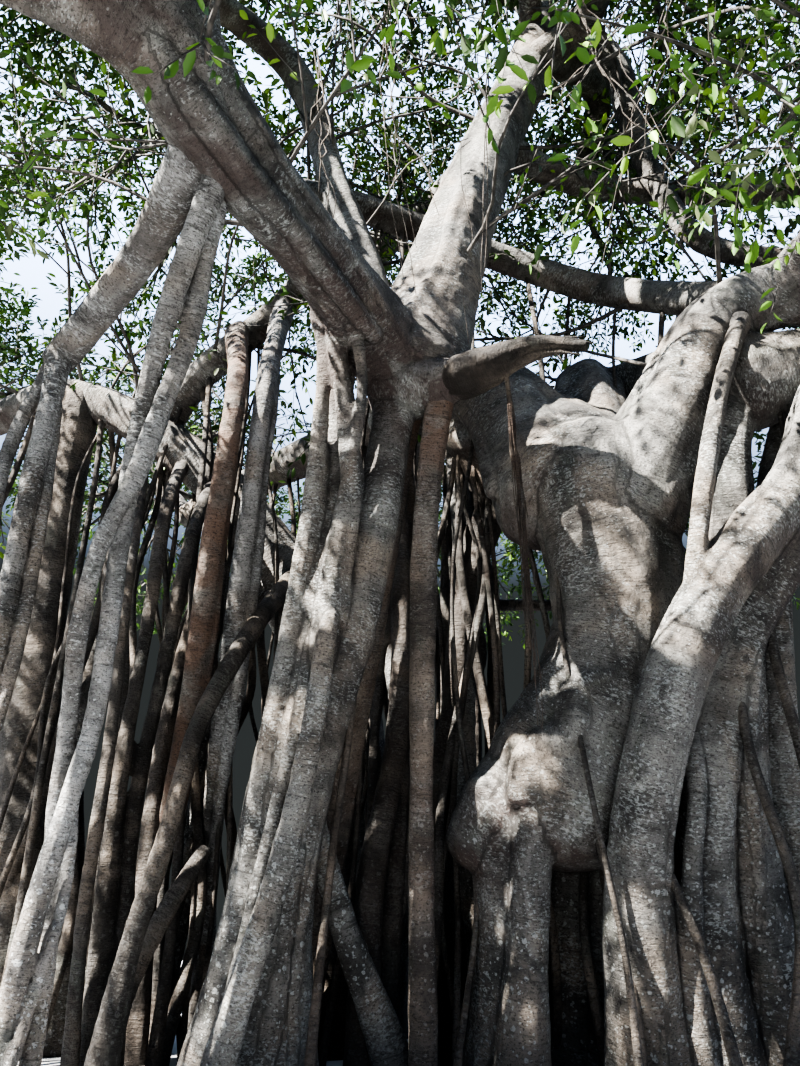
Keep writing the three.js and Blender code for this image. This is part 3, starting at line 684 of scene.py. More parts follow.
# The wood that shows large, with the columns, braids and swellings of its surface
SHAPED = {
    "trunk_main": [
        shaped((0.06, 0, 0, 0.52), (0.12, -0.08, 0.7, 0.42), (0.2, -0.17, 1.5, 0.37),
               (0.38, -0.36, 2.9, 0.33), (0.54, -0.62, 4.0, 0.23), (0.64, -0.85, 4.9, 0.12)),
        shaped((1.5, -0.92, 7.0, 0.3), (1.4, -0.94, 6.45, 0.24), (1.32, -0.9, 5.92, 0.21),
               (1.2, -0.8, 5.13, 0.215), (1.03, -0.65, 4.3, 0.24), (0.8, -0.5, 3.41, 0.24),
               (0.52, -0.3, 2.3, 0.24), (0.4, -0.15, 1.2, 0.23), (0.4, -0.1, 0, 0.36)),
        shaped((0.74, -1.65, 7.25, 0.2), (0.8, -1.66, 6.9, 0.13), (0.81, -1.6, 6.6, 0.105),
               (0.88, -1.5, 6.16, 0.11), (0.93, -1.35, 5.66, 0.11), (0.96, -1.25, 5.37, 0.125),
               (0.86, -1.05, 4.82, 0.14), (0.76, -0.9, 4.2, 0.15), (0.6, -0.72, 3.3, 0.13),
               (0.45, -0.62, 2.4, 0.1)),
        shaped((0.9, -1.78, 7.15, 0.14), (0.99, -1.75, 6.8, 0.07), (1.07, -1.67, 6.3, 0.06),
               (1.04, -1.57, 5.89, 0.066), (0.98, -1.42, 5.51, 0.06), (0.99, -1.22, 5.1, 0.07),
               (0.92, -1.02, 4.6, 0.075), (0.84, -0.85, 4.0, 0.08)),
        shaped((0.6, -1.6, 7.2, 0.12), (0.65, -1.52, 6.8, 0.08), (0.64, -1.4, 6.22, 0.08),
               (0.6, -1.2, 5.74, 0.1), (0.54, -1.0, 5.04, 0.12), (0.42, -0.8, 4.25, 0.13),
               (0.26, -0.6, 3.2, 0.14), (0.1, -0.42, 2.0, 0.16), (-0.08, -0.3, 0.9, 0.18),
               (-0.22, -0.25, 0, 0.28)),
        shaped((0.85, -1.3, 6.9, 0.12), (0.8, -1.05, 6.0, 0.14), (0.76, -0.88, 5.1, 0.17),
               (0.6, -0.68, 4.2, 0.26)),
        shaped((0.78, -0.98, 4.05, 0.07), (0.74, -1.0, 3.75, 0.1), (0.68, -0.98, 3.2, 0.11),
               (0.55, -0.9, 2.4, 0.115), (0.36, -0.84, 1.6, 0.12), (0.12, -0.78, 0.8, 0.13),
               (-0.08, -0.74, 0, 0.17)),
        shaped((0.62, -0.82, 4.1, 0.05), (0.5, -0.82, 3.2, 0.06), (0.3, -0.7, 2.2, 0.065),
               (0.08, -0.58, 1.1, 0.07), (-0.1, -0.52, 0, 0.1)),
    ],
    "bough_left": [
        shaped((1.5, -0.92, 6.82, 0.45), (1.2, -1.32, 7.1, 0.43), (0.83, -1.84, 7.3, 0.39),
               (0.45, -2.45, 7.46, 0.36), (0.18, -2.9, 7.5, 0.37), (-0.26, -3.55, 7.75, 0.42),
               (-0.62, -4.15, 8.0, 0.43), (*into("low_8"), 0.25)),
        shaped((-0.52, -4.3, 7.72, 0.08), (-0.2, -3.85, 7.45, 0.14), (0.22, -3.2, 7.22, 0.13),
               (0.5, -2.74, 7.17, 0.11), (0.86, -2.16, 6.99, 0.11), (1.2, -1.68, 6.8, 0.08)),
        shaped((0.02, -3.75, 7.75, 0.08), (0.42, -3.05, 7.5, 0.11), (0.74, -2.5, 7.42, 0.1),
               (1.08, -1.95, 7.22, 0.1), (1.38, -1.5, 7.0, 0.08)),
    ],
    "bough_left_side": [
        shaped((-0.7, -4.3, 8.1, 0.2), (-1.5, -4.65, 8.75, 0.18), (-2.6, -4.3, 8.95, 0.17),
               (*into("low_7"), 0.16)),
    ],
    "bough_left_low": [
        shaped((-0.36, -3.3, 7.55, 0.22), (-1.11, -2.25, 7.44, 0.19), (-1.75, -1.65, 7.15, 0.18),
               (-2.25, -1.28, 6.8, 0.17)),
    ],
    "bough_front": [
        shaped((-0.25, -3.6, 7.8, 0.2), (-0.15, -4.7, 8.8, 0.18), (*into("low_9"), 0.16)),
    ],
    "right_root_low": [
        shaped((4.2, -0.75, 2.9, 0.1), (4.12, -0.86, 2.35, 0.085), (4.02, -0.74, 1.7, 0.09),
               (3.98, -0.5, 0.9, 0.12), (3.98, -0.35, 0, 0.2)),
    ],
    "dead_stub": [
        shaped((1.9, -1.23, 6.56, 0.18), (2.1, -1.37, 6.53, 0.235), (2.35, -1.53, 6.54, 0.21),
               (2.58, -1.68, 6.57, 0.165), (2.85, -1.82, 6.58, 0.12), (3.08, -1.9, 6.54, 0.075),
               (3.28, -1.96, 6.49, 0.025)),
        shaped((2.3, -1.5, 6.66, 0.1), (2.6, -1.67, 6.69, 0.075), (2.9, -1.82, 6.66, 0.05),
               (3.2, -1.93, 6.57, 0.025), (3.38, -1.97, 6.5, 0.01)),
        shaped((2.5, -1.65, 6.5, 0.09), (2.85, -1.84, 6.48, 0.05), (3.1, -1.92, 6.43, 0.02),
               (3.22, -1.95, 6.38, 0.01)),
        shaped((2.7, -1.72, 6.6, 0.06), (3.05, -1.84, 6.65, 0.035), (3.3, -1.9, 6.64, 0.01)),
    ],
    "stub_foot": [
        shaped((1.35, -0.9, 6.7, 0.4), (1.7, -1.1, 6.6, 0.33), (1.95, -1.27, 6.54, 0.26),
               (2.1, -1.37, 6.53, 0.2), young=1.7),
    ],
    "bent_limb": [
        shaped((3.45, -0.15, 13.7, 0.24), (3.86, -0.1, 14.1, 0.27), (4.45, 0.0, 13.9, 0.25),
               (4.87, 0.1, 13.28, 0.23), (4.95, 0.2, 12.56, 0.2), (5.04, 0.2, 11.7, 0.18),
               (5.19, 0.2, 11.1, 0.17), (5.5, 0.1, 9.99, 0.16), (5.82, 0.0, 9.57, 0.15),
               (6.54, -0.3, 9.08, 0.15), (7.2, -1.2, 8.1, 0.2)),
    ],
    "bough_up_front": [
        shaped((3.5, -0.15, 13.6, 0.18), (3.3, -1.0, 13.9, 0.15), (*into("middle_5"), 0.13)),
    ],
    "trunk_right": [
        shaped((2.95, 0.12, 2.2, 0.74), (3.15, 0.08, 2.7, 0.82), (3.5, -0.08, 3.3, 0.74),
               (3.78, -0.26, 4.1, 0.69), (3.74, -0.4, 4.9, 0.7), (3.55, -0.5, 5.7, 0.72),
               (3.5, -0.5, 6.1, 0.6)),
        shaped((3.2, 0.1, 2.9, 0.5), (2.75, 0.08, 2.6, 0.5), (2.4, 0.06, 2.3, 0.42),
               (2.15, 0.12, 1.95, 0.3)),
        shaped((3.65, -0.45, 5.7, 0.66), (3.3, -0.1, 6.4, 0.62), (2.9, 0.35, 6.85, 0.58),
               (2.5, 0.72, 7.0, 0.42), (2.2, 1.2, 7.6, 0.34)),
        shaped((2.95, 0.55, 6.8, 0.4), (3.5, 0.9, 7.3, 0.42), (4.05, 0.95, 7.7, 0.42),
               (4.5, 0.75, 7.8, 0.38), (5.0, 0.2, 7.75, 0.34), (5.4, -0.65, 7.65, 0.28)),
        *WOOD["trunk_right"][2:],
        shaped((3.1, -0.35, 3.4, 0.14), (2.82, -0.4, 2.5, 0.2), (2.68, -0.36, 1.9, 0.19),
               (2.58, -0.28, 1.0, 0.19), (2.5, -0.2, 0, 0.28)),
    ],
    "back_roots": [
        shaped((-1.16, 1.6, 6.9, 0.1), (-1.09, 0.6, 5.66, 0.09), (-1.23, 0.5, 3.87, 0.085),
               (-1.36, 0.5, 2.22, 0.09), (-1.29, 0.6, 0, 0.13)),
        shaped((-1.6, 1.6, 7.25, 0.1), (-1.49, 0.7, 6.01, 0.09), (-1.45, 0.4, 4.2, 0.08),
               (-1.49, 0.3, 2.64, 0.09), (-1.45, 0.4, 0, 0.12)),
        shaped((-2.2, 1.6, 7.6, 0.09), (-1.62, 0.1, 4.73, 0.065), (-1.54, 0.0, 3.05, 0.07),
               (-1.55, 0.0, 1.4, 0.07), (-1.51, 0.1, 0, 0.09)),
        shaped((-0.9, 1.7, 6.7, 0.1), (-1.2, 1.2, 4.32, 0.1), (-1.3, 1.0, 2.49, 0.11),
               (-1.21, 1.1, 0, 0.15), young=0.3),
        shaped((0.1, 1.9, 5.7, 0.13), (-0.28, 0.3, 4.17, 0.11), (-0.65, 0.0, 3.14, 0.1),
               (-0.8, -0.15, 2.1, 0.1), (-0.99, -0.3, 1.05, 0.1), (-1.11, -0.3, 0, 0.15)),
        shaped((-0.57, 0.5, 1.97, 0.08), (-0.85, 0.2, 1.36, 0.1), (-1.11, 0.1, 0.67, 0.1),
               (-1.2, 0.05, 0, 0.14)),
        shaped((2.8, 0.6, 7.1, 0.36), (2.43, 0.7, 6.84, 0.22), (2.66, 0.8, 6.06, 0.17),
               (2.27, 0.9, 5.02, 0.16), (2.07, 1.0, 3.47, 0.15), (1.86, 1.1, 2.52, 0.14),
               (1.77, 1.1, 0, 0.18), young=0.25),
        shaped((2.62, 0.8, 6.2, 0.14), (2.18, 1.1, 5.1, 0.12), (2.4, 1.15, 4.31, 0.12),
               (1.96, 1.2, 2.95, 0.11), (1.96, 1.3, 0, 0.15), young=0.25),
        shaped((2.35, 1.3, 8.0, 0.12), (2.47, 1.9, 6.7, 0.11), (2.41, 2.1, 3.87, 0.11),
               (2.29, 2.1, 0, 0.14), young=0.3),
        shaped((2.1, 1.6, 8.1, 0.1), (2.66, 1.7, 5.06, 0.09), (2.58, 1.8, 3.09, 0.09),
               (2.46, 1.8, 0, 0.12)),
        shaped((2.3, 0.9, 7.8, 0.1), (2.14, 1.4, 6.76, 0.085), (2.03, 1.5, 3.74, 0.085),
               (1.97, 1.5, 0, 0.1)),
        shaped((0.6, 4.0, 5.5, 0.12), (2.18, 3.4, 5.61, 0.1), (3.91, 3.3, 5.61, 0.09),
               (4.9, 3.6, 5.9, 0.06), young=0.3),
        shaped((1.3, 1.2, 8.0, 0.13), (1.45, 0.7, 5.29, 0.11), (1.41, 0.6, 3.15, 0.13),
               (1.16, 0.5, 1.69, 0.14), (1.09, 0.5, 0, 0.19), young=0.3),
        shaped((1.5, 1.5, 8.1, 0.1), (1.6, 0.9, 4.84, 0.08), (1.41, 0.8, 2.02, 0.1),
               (1.32, 0.8, 0, 0.13), young=0.3),
        shaped((1.2, 0.9, 8.0, 0.05), (1.29, 0.75, 4.74, 0.055), (1.16, 0.8, 3.18, 0.06),
               (1.24, 0.8, 0, 0.09)),
        shaped((2.3, 1.5, 5.0, 0.1), (2.15, 1.6, 2.5, 0.12), (2.12, 1.6, 0.8, 0.16),
               (2.1, 1.6, 0, 0.22)),
        shaped((0.9, 1.4, 4.5, 0.09), (0.8, 1.6, 2.0, 0.12), (0.77, 1.6, 0.3, 0.28),
               (0.76, 1.6, 0, 0.36)),
        shaped((-3.3, 1.65, 8.2, 0.3), (-3.29, 1.7, 4.81, 0.36), (-3.03, 1.7, 2.58, 0.36),
               (-2.7, 1.6, 0, 0.42)),
    ],
}


SHOWN = {**WOOD, **SHAPED}


def group(*names):
    return [s for name in names for s in SHOWN[name]]


def wound_round(*rows):
    """Strands wound round others: each row has a group, which of its strands, and what wound
    takes."""
    return [s for name, which, *how in rows for s in wound(SHOWN[name][which], *how)]


TWIST_PLACES = np.linspace(0, 1, 13)
TWIST_WAVER = 0.3  # radians
TWIST_TOP = (0.35, 9)  # how much a strand swells there, and how soon that ends
TWIST_FOOT = (0.45, 12)
TWIST_WIDTHS = (0.9, 1.1)


def twisted(name, seed, *parts):
    """Strands that twist together along a root: each has a radius, a distance off the middle, a
    direction at the start in degrees, and turns."""
    s = WOOD[name][0]
    draw = random.Random(seed)
    curve, _ = even_steps(centre_line(s), FINE_STEP)
    _, normal, binormal = frames(curve)
    last = len(curve) - 1
    strands = []
    for radius, off, direction, turns in parts:
        points = []
        for share in TWIST_PLACES:
            at = round(share * last)
            angle = math.radians(direction + 360 * turns * share)
            angle += draw.uniform(-TWIST_WAVER, TWIST_WAVER)
            out = math.cos(angle) * normal[at] + math.sin(angle) * binormal[at]
            swelling = 1 + TWIST_TOP[0] * math.exp(-share * TWIST_TOP[1])
            swelling += TWIST_FOOT[0] * math.exp((share - 1) * TWIST_FOOT[1])
            width = radius * swelling * draw.uniform(*TWIST_WIDTHS)
            points.append((*(curve[at] + off * out), width))
        points[-1] = (*points[-1][:2], -UNDERGROUND, points[-1][3])
        strands.append(shaped(*points, young=s["young"]))
    return strands


def bark_pieces():
    """Each piece of fused wood: its voxel size, the groups of its strands and more strands, and the
    slot, look and nodes where they aren't bark and the groups that the solids have."""
    props = [name for name in WOOD if name.startswith("prop_")]
    return {
        "main_trunk_wood": dict(
            voxel=0.031,
            groups=("trunk_main", "bough_left", "bough_up", "bough_up_left", "stub_foot"),
            more=wound_round(
                ("trunk_main", 0, 5, 0.09, 0.2, 0.4, 21),
                ("trunk_main", 1, 2, 0.07, 0.25, 0.3, 22),
                ("bough_left", 0, 3, 0.12, 0.3, 0.3, 23),
                ("bough_up", 0, 3, 0.11, 0.25, 0.2, 24),
            ),
        ),
        "right_trunk_wood": dict(
            voxel=0.037,
            groups=(
                "trunk_right", "bough_right", "bough_back", "bough_back_left", "bough_right_hub"),
            more=wound_round(
                ("trunk_right", 0, 4, 0.2, 0.25, 0.3, 31),
                ("trunk_right", 4, 2, 0.1, 0.3, 0.3, 32),
                ("bough_right", 0, 3, 0.13, 0.3, 0.25, 51),
                ("bough_back_left", 0, 3, 0.15, 0.3, 0.25, 52),
                ("bough_back", 0, 2, 0.13, 0.3, 0.25, 53),
            ),
        ),
        "right_roots_wood": dict(
            voxel=0.027,
            groups=("roots_right",),
            more=wound_round(
                ("roots_right", 0, 3, 0.08, 0.5, 0.4, 33),
                ("roots_right", 1, 2, 0.08, 0.5, 0.4, 34),
                ("roots_right", 2, 2, 0.07, 0.5, 0.4, 35),
            ) + group("right_root_low"),
        ),
        "left_pillars_wood": dict(
            voxel=0.025,
            groups=(),
            more=twisted(
                "pillar_left", 41,
                (0.086, 0.118, 20, 1.4), (0.076, 0.118, 200, 1.4), (0.04, 0.13, 100, 2.0))
            + twisted("pillar_far_left", 42, (0.1, 0.07, 0, 0.7), (0.065, 0.13, 170, 0.7))
            + group("pillar_far_left")[1:] + group("bough_left_low")
            + twisted("pillar_grey", 43, (0.115, 0.05, 0, 0.7), (0.07, 0.11, 150, 0.7)),
            look="pale_root",
            nodes=("pillar_left", "pillar_far_left", "bough_left_low", "pillar_grey"),
        ),
        "red_roots_wood": dict(
            voxel=0.026,
            groups=(),
            more=twisted("pillar_brown", 44, (0.13, 0.03, 0, 0.6), (0.05, 0.12, 120, 0.8))
            + twisted("pillar_centre", 45, (0.115, 0.03, 0, 0.5), (0.06, 0.11, 60, 0.4))
            + twisted("root_diagonal", 47, (0.12, 0.03, 0, 0.5), (0.06, 0.1, 200, 0.5)),
            slot="aerial_root",
            nodes=("pillar_brown", "root_diagonal", "pillar_centre"),
        ),
        "dead_stub_wood": dict(
            voxel=0.016,
            groups=("dead_stub",),
            more=wound_round(("dead_stub", 0, 3, 0.045, 0.3, 0.3, 46)),
            slot="dead_wood",
        ),
        "right_boughs_wood": dict(
            voxel=0.03, groups=("bough_front_right", "bridge_right", "bough_back_middle")),
        "back_trunk_wood": dict(
            voxel=0.04,
            groups=("trunk_back", "bough_far_left", "bridge_left"),
            more=wound_round(("trunk_back", 0, 4, 0.16, 0.3, 0.4, 54)),
        ),
        "left_boughs_wood": dict(voxel=0.03, groups=("bough_left_side", "bough_front")),
        "upper_boughs_wood": dict(
            voxel=0.035,
            groups=(
                "bough_up_low", "bough_up_right", "bough_up_back", "bough_up_front",
                "bough_up_side", "bent_limb"),
        ),
        "props_wood": dict(voxel=0.045, groups=(*props, "root_pole")),
        # The back roots take the aerial roots' colours darkened as painted shade
        "back_roots_wood": dict(
            voxel=0.036, groups=("back_roots",), slot="aerial_root", look="shaded_root"),
    }


def tubes(name, strands, sides, step):
    """Thin roots, each a plain closed skin of its own."""
    points, quads, caps, rings, _ = skin(strands, sides, step)
    points[:, 2] = np.maximum(points[:, 2], 0)
    piece = mesh_from_arrays(name, points, quads, caps)
    angle = np.linspace(0, 2 * math.pi, sides, endpoint=False)
    radius, along = rings["radius"][:, None], np.repeat(rings["along"][:, None], sides, axis=1)
    limb = np.stack([radius * np.cos(angle), radius * np.sin(angle), along], axis=2)
    mark_bark(piece.data, limb, np.repeat(rings["young"], sides))
    return piece


# Near-black of the cracks, specks and dirt, also used for the painted shade in the creases
CRACK_AND_SHADE_COLOUR = (0.018, 0.016, 0.015)
TAN_COLOUR = (0.178, 0.146, 0.118)
FILM_COLOUR = (0.072, 0.078, 0.068)
LICHEN_SPOTS = ((30.0, 1.26), (15.0, 1.08))  # scale and reach of the spots, in cells
CREASE_SHADE = (0.493, 0.445)  # pointiness below which painted shade darkens the bark in its creases, and at which it is darkest
# Dark and pale brown-grey of the twigs' bark, made darker still as painted shade for twigs under
# the crown
TWIG_AND_SHADE_COLOURS = ((0.018, 0.016, 0.014), (0.060, 0.055, 0.049))

# Kinds of bark: the dark and the pale parts, the young ones, and the lichen, with the lichen's
# share and how far the young ones' dark red is laid under the limbs, partly as ruddy bark and
# partly as painted shade
BARKS = {
    "bark": (
        (0.037, 0.036, 0.0345), (0.165, 0.162, 0.153), (0.044, 0.032, 0.029),
        (0.36, 0.38, 0.375), 0.8, 0.85),
    "pale_root": (
        (0.058, 0.058, 0.058), (0.235, 0.235, 0.232), (0.060, 0.050, 0.046),
        (0.45, 0.47, 0.475), 0.8, 0.4),
    "aerial_root": (
        (0.038, 0.034, 0.031), (0.130, 0.118, 0.106), (0.098, 0.064, 0.048),
        (0.30, 0.30, 0.29), 0.5, 0.3),
    # The aerial roots' colours darkened as painted shade, for roots that stand in shade behind the
    # trunks and under the crown
    "shaded_root": (
        (0.020, 0.018, 0.016), (0.070, 0.064, 0.058), (0.055, 0.038, 0.030),
        (0.17, 0.17, 0.165), 0.5, 0.3),
    "dead_wood": (
        (0.006, 0.0055, 0.005), (0.022, 0.019, 0.017), (0.014, 0.011, 0.009),
        (0.07, 0.066, 0.06), 0.4, 0.2),
}


class Nodes:
    """Short ways to add the nodes of one material, or of the world."""

    def __init__(self, owner, shader="Principled BSDF"):
        owner.use_nodes = True
        self.owner = owner
        self.tree = owner.node_tree
        self.shader = self.tree.nodes[shader]

    def set(self, node, inputs):
        """Links or constant values for the node's sockets. A colour is given without its alpha."""
        for key, value in inputs.items():
            socket = node.inputs[key]
            if isinstance(value, bpy.types.NodeSocket):
                self.tree.links.new(value, socket)
            else:
                socket.default_value = (*value, 1) if socket.type == "RGBA" else value

    def add(self, kind, inputs=(), **settings):
        node = self.tree.nodes.new(kind)
        for key, value in settings.items():
            setattr(node, key, value)
        self.set(node, dict(inputs))
        return node

    def maths(self, operation, *values):
        return self.add("ShaderNodeMath", dict(enumerate(values)), operation=operation).outputs[0]

    def plus(self, *values):
        return self.maths("ADD", *values)

    def minus(self, *values):
        return self.maths("SUBTRACT", *values)

    def times(self, *values):
        return self.maths("MULTIPLY", *values)

    def mix(self, share, a, b):
        return self.add("ShaderNodeMix", {0: share, 6: a, 7: b}, data_type="RGBA").outputs[2]

    def over(self, below, above, share, most):
        """One colour over another where the share says, and at most so much of it."""
        return self.mix(self.times(share, most), below, above)

    def steps(self, value, low, high):
        """0 below low and 1 above high, smooth between."""
        inputs = {0: value, 1: low, 2: high}
        return self.add("ShaderNodeMapRange", inputs, interpolation_type="SMOOTHSTEP").outputs[0]

    def vertical(self, vector):
        return self.add("ShaderNodeSeparateXYZ", {0: vector}).outputs[2]

    def noise(self, place, scale, detail=3.0, rough=0.55, distortion=0.0):
        """Noise of one scale, or with a scale for each direction."""
        if isinstance(scale, tuple):
            place = self.add("ShaderNodeMapping", {"Vector": place, "Scale": scale}).outputs[0]
            scale = 1.0
        inputs = {"Vector": place, "Scale": scale, "Detail": detail, "Roughness": rough}
        inputs["Distortion"] = distortion
        return self.add("ShaderNodeTexNoise", inputs).outputs[0]

    def bump(self, strength, distance, height):
        inputs = {"Strength": strength, "Distance": distance, "Height": height}
        return self.add("ShaderNodeBump", inputs).outputs[0]

    def finish(self, **inputs):
        """The shader's own sockets, each by its name with _ for a space, and the material."""
        self.set(self.shader, {key.replace("_", " "): value for key, value in inputs.items()})
        return self.owner


def material_nodes(name):
    return Nodes(bpy.data.materials.new(name))


def bark_material(name, dark, pale, red, lichen, lichen_share, underside_shade_red):
    n = material_nodes(name)
    place = n.add("ShaderNodeTexCoord").outputs["Object"]
    limb = n.add("ShaderNodeAttribute", attribute_name="limb").outputs["Vector"]
    young = n.add("ShaderNodeAttribute", attribute_name="young").outputs["Fac"]
    surface = n.add("ShaderNodeNewGeometry").outputs
    height = n.vertical(place)

    # Broad light and dark patches, and dark streaks that run along the limb
    mottle = n.noise(place, 1.3, 6, 0.66, 0.7)
    tan_parts = n.steps(n.noise(place, 0.75, 4, 0.55, 0.6), 0.44, 0.6)
    colour = n.mix(n.steps(mottle, 0.33, 0.64), dark, n.over(pale, TAN_COLOUR, tan_parts, 0.75))
    film = n.steps(n.noise(limb, (2.6, 2.6, 1.2), 5, 0.66, 0.4), 0.52, 0.66)
    colour = n.over(colour, FILM_COLOUR, film, 0.5)
    streaks = n.steps(n.noise(limb, (7, 7, 1.1), 4, 0.6, 0.4), 0.5, 0.72)
    colour = n.over(colour, dark, streaks, 0.4)

    # Reddish brown where the bark is young, and under the limbs, where the dark red is partly the
    # bark's own and partly painted shade
    # Painted shade: the more the bark faces down, the more of the dark red it takes
    under = n.steps(n.vertical(surface["Normal"]), -0.1, -0.85)
    redness = n.plus(young, n.times(under, underside_shade_red))
    redness = n.times(redness, n.steps(n.noise(place, 2.2, 4, 0.6, 0.8), 0.3, 0.62))
    redness = n.maths("MINIMUM", redness, 0.9)
    colour = n.mix(redness, colour, red)
    clear_of_red = n.minus(1.0, n.times(redness, 0.75))

    # Pale crust in short dashes round the limb, dense in patches
    patchy = n.steps(n.noise(place, 1.6, 4, 0.6), 0.4, 0.62)
    dashes = n.noise(limb, (22, 22, 50), 4, 0.62, 0.3)
    crust = n.steps(n.plus(dashes, n.times(patchy, 0.14)), 0.62, 0.72)

    # Round spots of lichen, each of its own size, that leave most places bare
    warp = n.add("ShaderNodeTexNoise", {"Vector": place, "Scale": 30.0, "Detail": 2.0}).outputs
    warp = n.add("ShaderNodeVectorMath", {0: warp["Color"], 3: 0.03}, operation="SCALE").outputs[0]
    warped = n.add("ShaderNodeVectorMath", {0: place, 1: warp}, operation="ADD").outputs[0]
    low = n.steps(height, 5.0, 1.0)
    spots = []
    for scale, reach in LICHEN_SPOTS:
        cells = n.add("ShaderNodeTexVoronoi", {"Vector": warped, "Scale": scale}).outputs
        size = n.minus(cells["Color"], n.minus(0.74, n.times(low, 0.22)))
        spots.append(n.steps(n.minus(cells["Distance"], n.times(size, reach)), 0.04, -0.02))
    pale_parts = n.maths("MAXIMUM", n.times(crust, 0.55), n.times(n.maths("MAXIMUM", *spots), 0.6))
    colour = n.over(colour, lichen, n.times(pale_parts, clear_of_red), lichen_share)

    # Dark specks, the fine cracks that run round the limb, dirt at the foot, and painted shade in
    # the creases
    specks = n.steps(n.noise(limb, (38, 38, 58), 4, 0.65), 0.47, 0.37)
    colour = n.over(colour, CRACK_AND_SHADE_COLOUR, specks, 0.7)
    wrinkle = n.noise(limb, (3.2, 3.2, 30), 4, 0.65, 0.5)
    colour = n.over(colour, CRACK_AND_SHADE_COLOUR, n.steps(wrinkle, 0.44, 0.33), 0.5)
    dirt = n.times(n.steps(height, 0.9, 0.0), n.steps(mottle, 0.3, 0.6))
    colour = n.over(colour, CRACK_AND_SHADE_COLOUR, dirt, 0.6)
    # Painted shade: the bark darkens where its surface folds inwards, in the creases between the
    # columns
    crease_shade = n.steps(surface["Pointiness"], *CREASE_SHADE)
    colour = n.over(colour, CRACK_AND_SHADE_COLOUR, crease_shade, 0.85)

    height = n.plus(wrinkle, n.times(n.noise(place, 85.0, 3, 0.7), 0.35))
    height = n.plus(height, n.times(pale_parts, 0.15))
    height = n.plus(height, n.times(dashes, 0.5))
    height = n.plus(height, n.times(n.noise(place, 14.0, 4, 0.6), 1.1))
    roughness = n.plus(n.times(mottle, 0.2), 0.74)
    bump = n.bump(0.9, 0.03, height)
    return n.finish(Base_Color=colour, Roughness=roughness, Specular_IOR_Level=0.25, Normal=bump)


def twig_material():
    n = material_nodes("twig_bark")
    place = n.add("ShaderNodeTexCoord").outputs["Object"]
    # The twigs' bark colours, darkened as painted shade
    colour = n.mix(n.steps(n.noise(place, 6.0, 4, 0.6), 0.38, 0.62), *TWIG_AND_SHADE_COLOURS)
    bump = n.bump(0.5, 0.01, n.noise(place, 40.0))
    return n.finish(Base_Color=colour, Roughness=0.85, Normal=bump)


# Plain base colours of the leaves, with the share of the sprays that has each; the two brightest
# are painted light, for sun shining through the leaves
LEAF_TONES_WITH_PAINTED_LIGHT = (
    ((0.024, 0.052, 0.012), 0.30),
    ((0.042, 0.092, 0.017), 0.32),
    # painted light: this tone and the next stand for leaves that the sun shines through
    ((0.074, 0.150, 0.023), 0.22),
    ((0.115, 0.200, 0.028), 0.10),
    ((0.085, 0.110, 0.052), 0.06),
)


def leaf_materials():
    look = dict(Roughness=0.5, Specular_IOR_Level=0.2)
    tones = enumerate(LEAF_TONES_WITH_PAINTED_LIGHT, 1)
    return [material_nodes(f"leaf_tone_{i}").finish(Base_Color=t, **look) for i, (t, _) in tones]


# Twigs of each finer order: how many grow on the one before, where the first one does, how long
# they are at the start and end of it, where they head, and their radius at both ends
ORDERS = (
    dict(count=8, first=0.22, length=(2.1, 1.25), ahead=0.6, aside=0.85, outward=0.3, up=0.05,
         radius=(0.034, 0.016)),
    dict(count=6, first=0.25, length=(1.05, 0.8), ahead=0.65, aside=0.85, outward=0.2, up=0.15,
         radius=(0.014, 0.007)),
    dict(count=4, first=0.35, length=(0.45, 0.32), ahead=0.75, aside=0.8, outward=0.1, up=0.2,
         radius=(0.006, 0.003), points=3),
)
TWIG_POINTS = 4
STEM_RADIUS = (0.19, 0.05)
MAIN_TWIG_RADIUS = (0.085, 0.03)
REACHES = (1, 0.85, 0.7, 0.55)  # shares of a main twig's length that are tried, the longest first
SHORTER = (0.75, 0.55)  # the same for the finer twigs
TIP_ASIDE = 0.25  # aside, for the twig that goes on from its parent's end
TWIG_STRAY = 0.12
TWIG_LENGTHS = (0.75, 1.2)  # shares of an order's length
TWIG_BEND = 0.1
TWIG_SAG = -0.04
LIMB_STRAY = 0.12
LIMB_SWAY = 0.09  # share of a main twig's length
LIMB_START = -0.06  # the stem starts inside its bough
LAST_MAIN_TWIG = 0.95  # share of the stem
LIMB_SIDES = 7
LIMB_STEP = 0.3
LEAVES_PER_SPRAY = 8
LEAF_LENGTH = (0.125, 0.2)
LEAF_WIDTH = 0.42  # share of its length
LEAF_OUTLINE = ((0, 0), (0.26, 0.43), (0.64, 0.46), (1, 0), (0.64, -0.46), (0.26, -0.43))
LEAF_FOLD = 0.35
LEAF_DROOP = 0.16
LEAF_OPENING = (72, 25)  # degrees between the shoot and its first and last leaf
LEAF_OPENING_STRAY = 10
LEAF_STRAY = 0.1
LEAF_SAG = -0.12
LEAF_ROLL = 0.35  # stray of the side that faces up
LEAF_ALONG = 0.3  # how far that side follows the shoot
LEAF_STALK = 0.025
FIRST_LEAF = 0.08  # share of the shoot
LEAF_CROWDING = 0.8  # below 1 the leaves stand closer towards the tip
TIP_LEAF = 0.75  # length of the last leaf, as a share of the first one's
WOOD_MARGIN = 0.07
NEAR_WOOD = 1.5  # how far outside a mass its own wood still counts
SPACE_MARGIN = 1.06
BOX_MARGIN = 0.1
BLOCK = 4000  # points worked on at a time
BOX_LOW = np.array(cad_box[0]) + BOX_MARGIN
BOX_HIGH = np.array(cad_box[1]) - BOX_MARGIN


def wood_samples():
    points, radii = [], []
    for strands in WOOD.values():
        for s in strands:
            at, along = even_steps(centre_line(s), SAMPLE_STEP)
            points.append(at)
            radii.append(radius_along(s, at, along))
    return np.vstack(points), np.concatenate(radii)


WOOD_POINTS, WOOD_RADII = wood_samples()


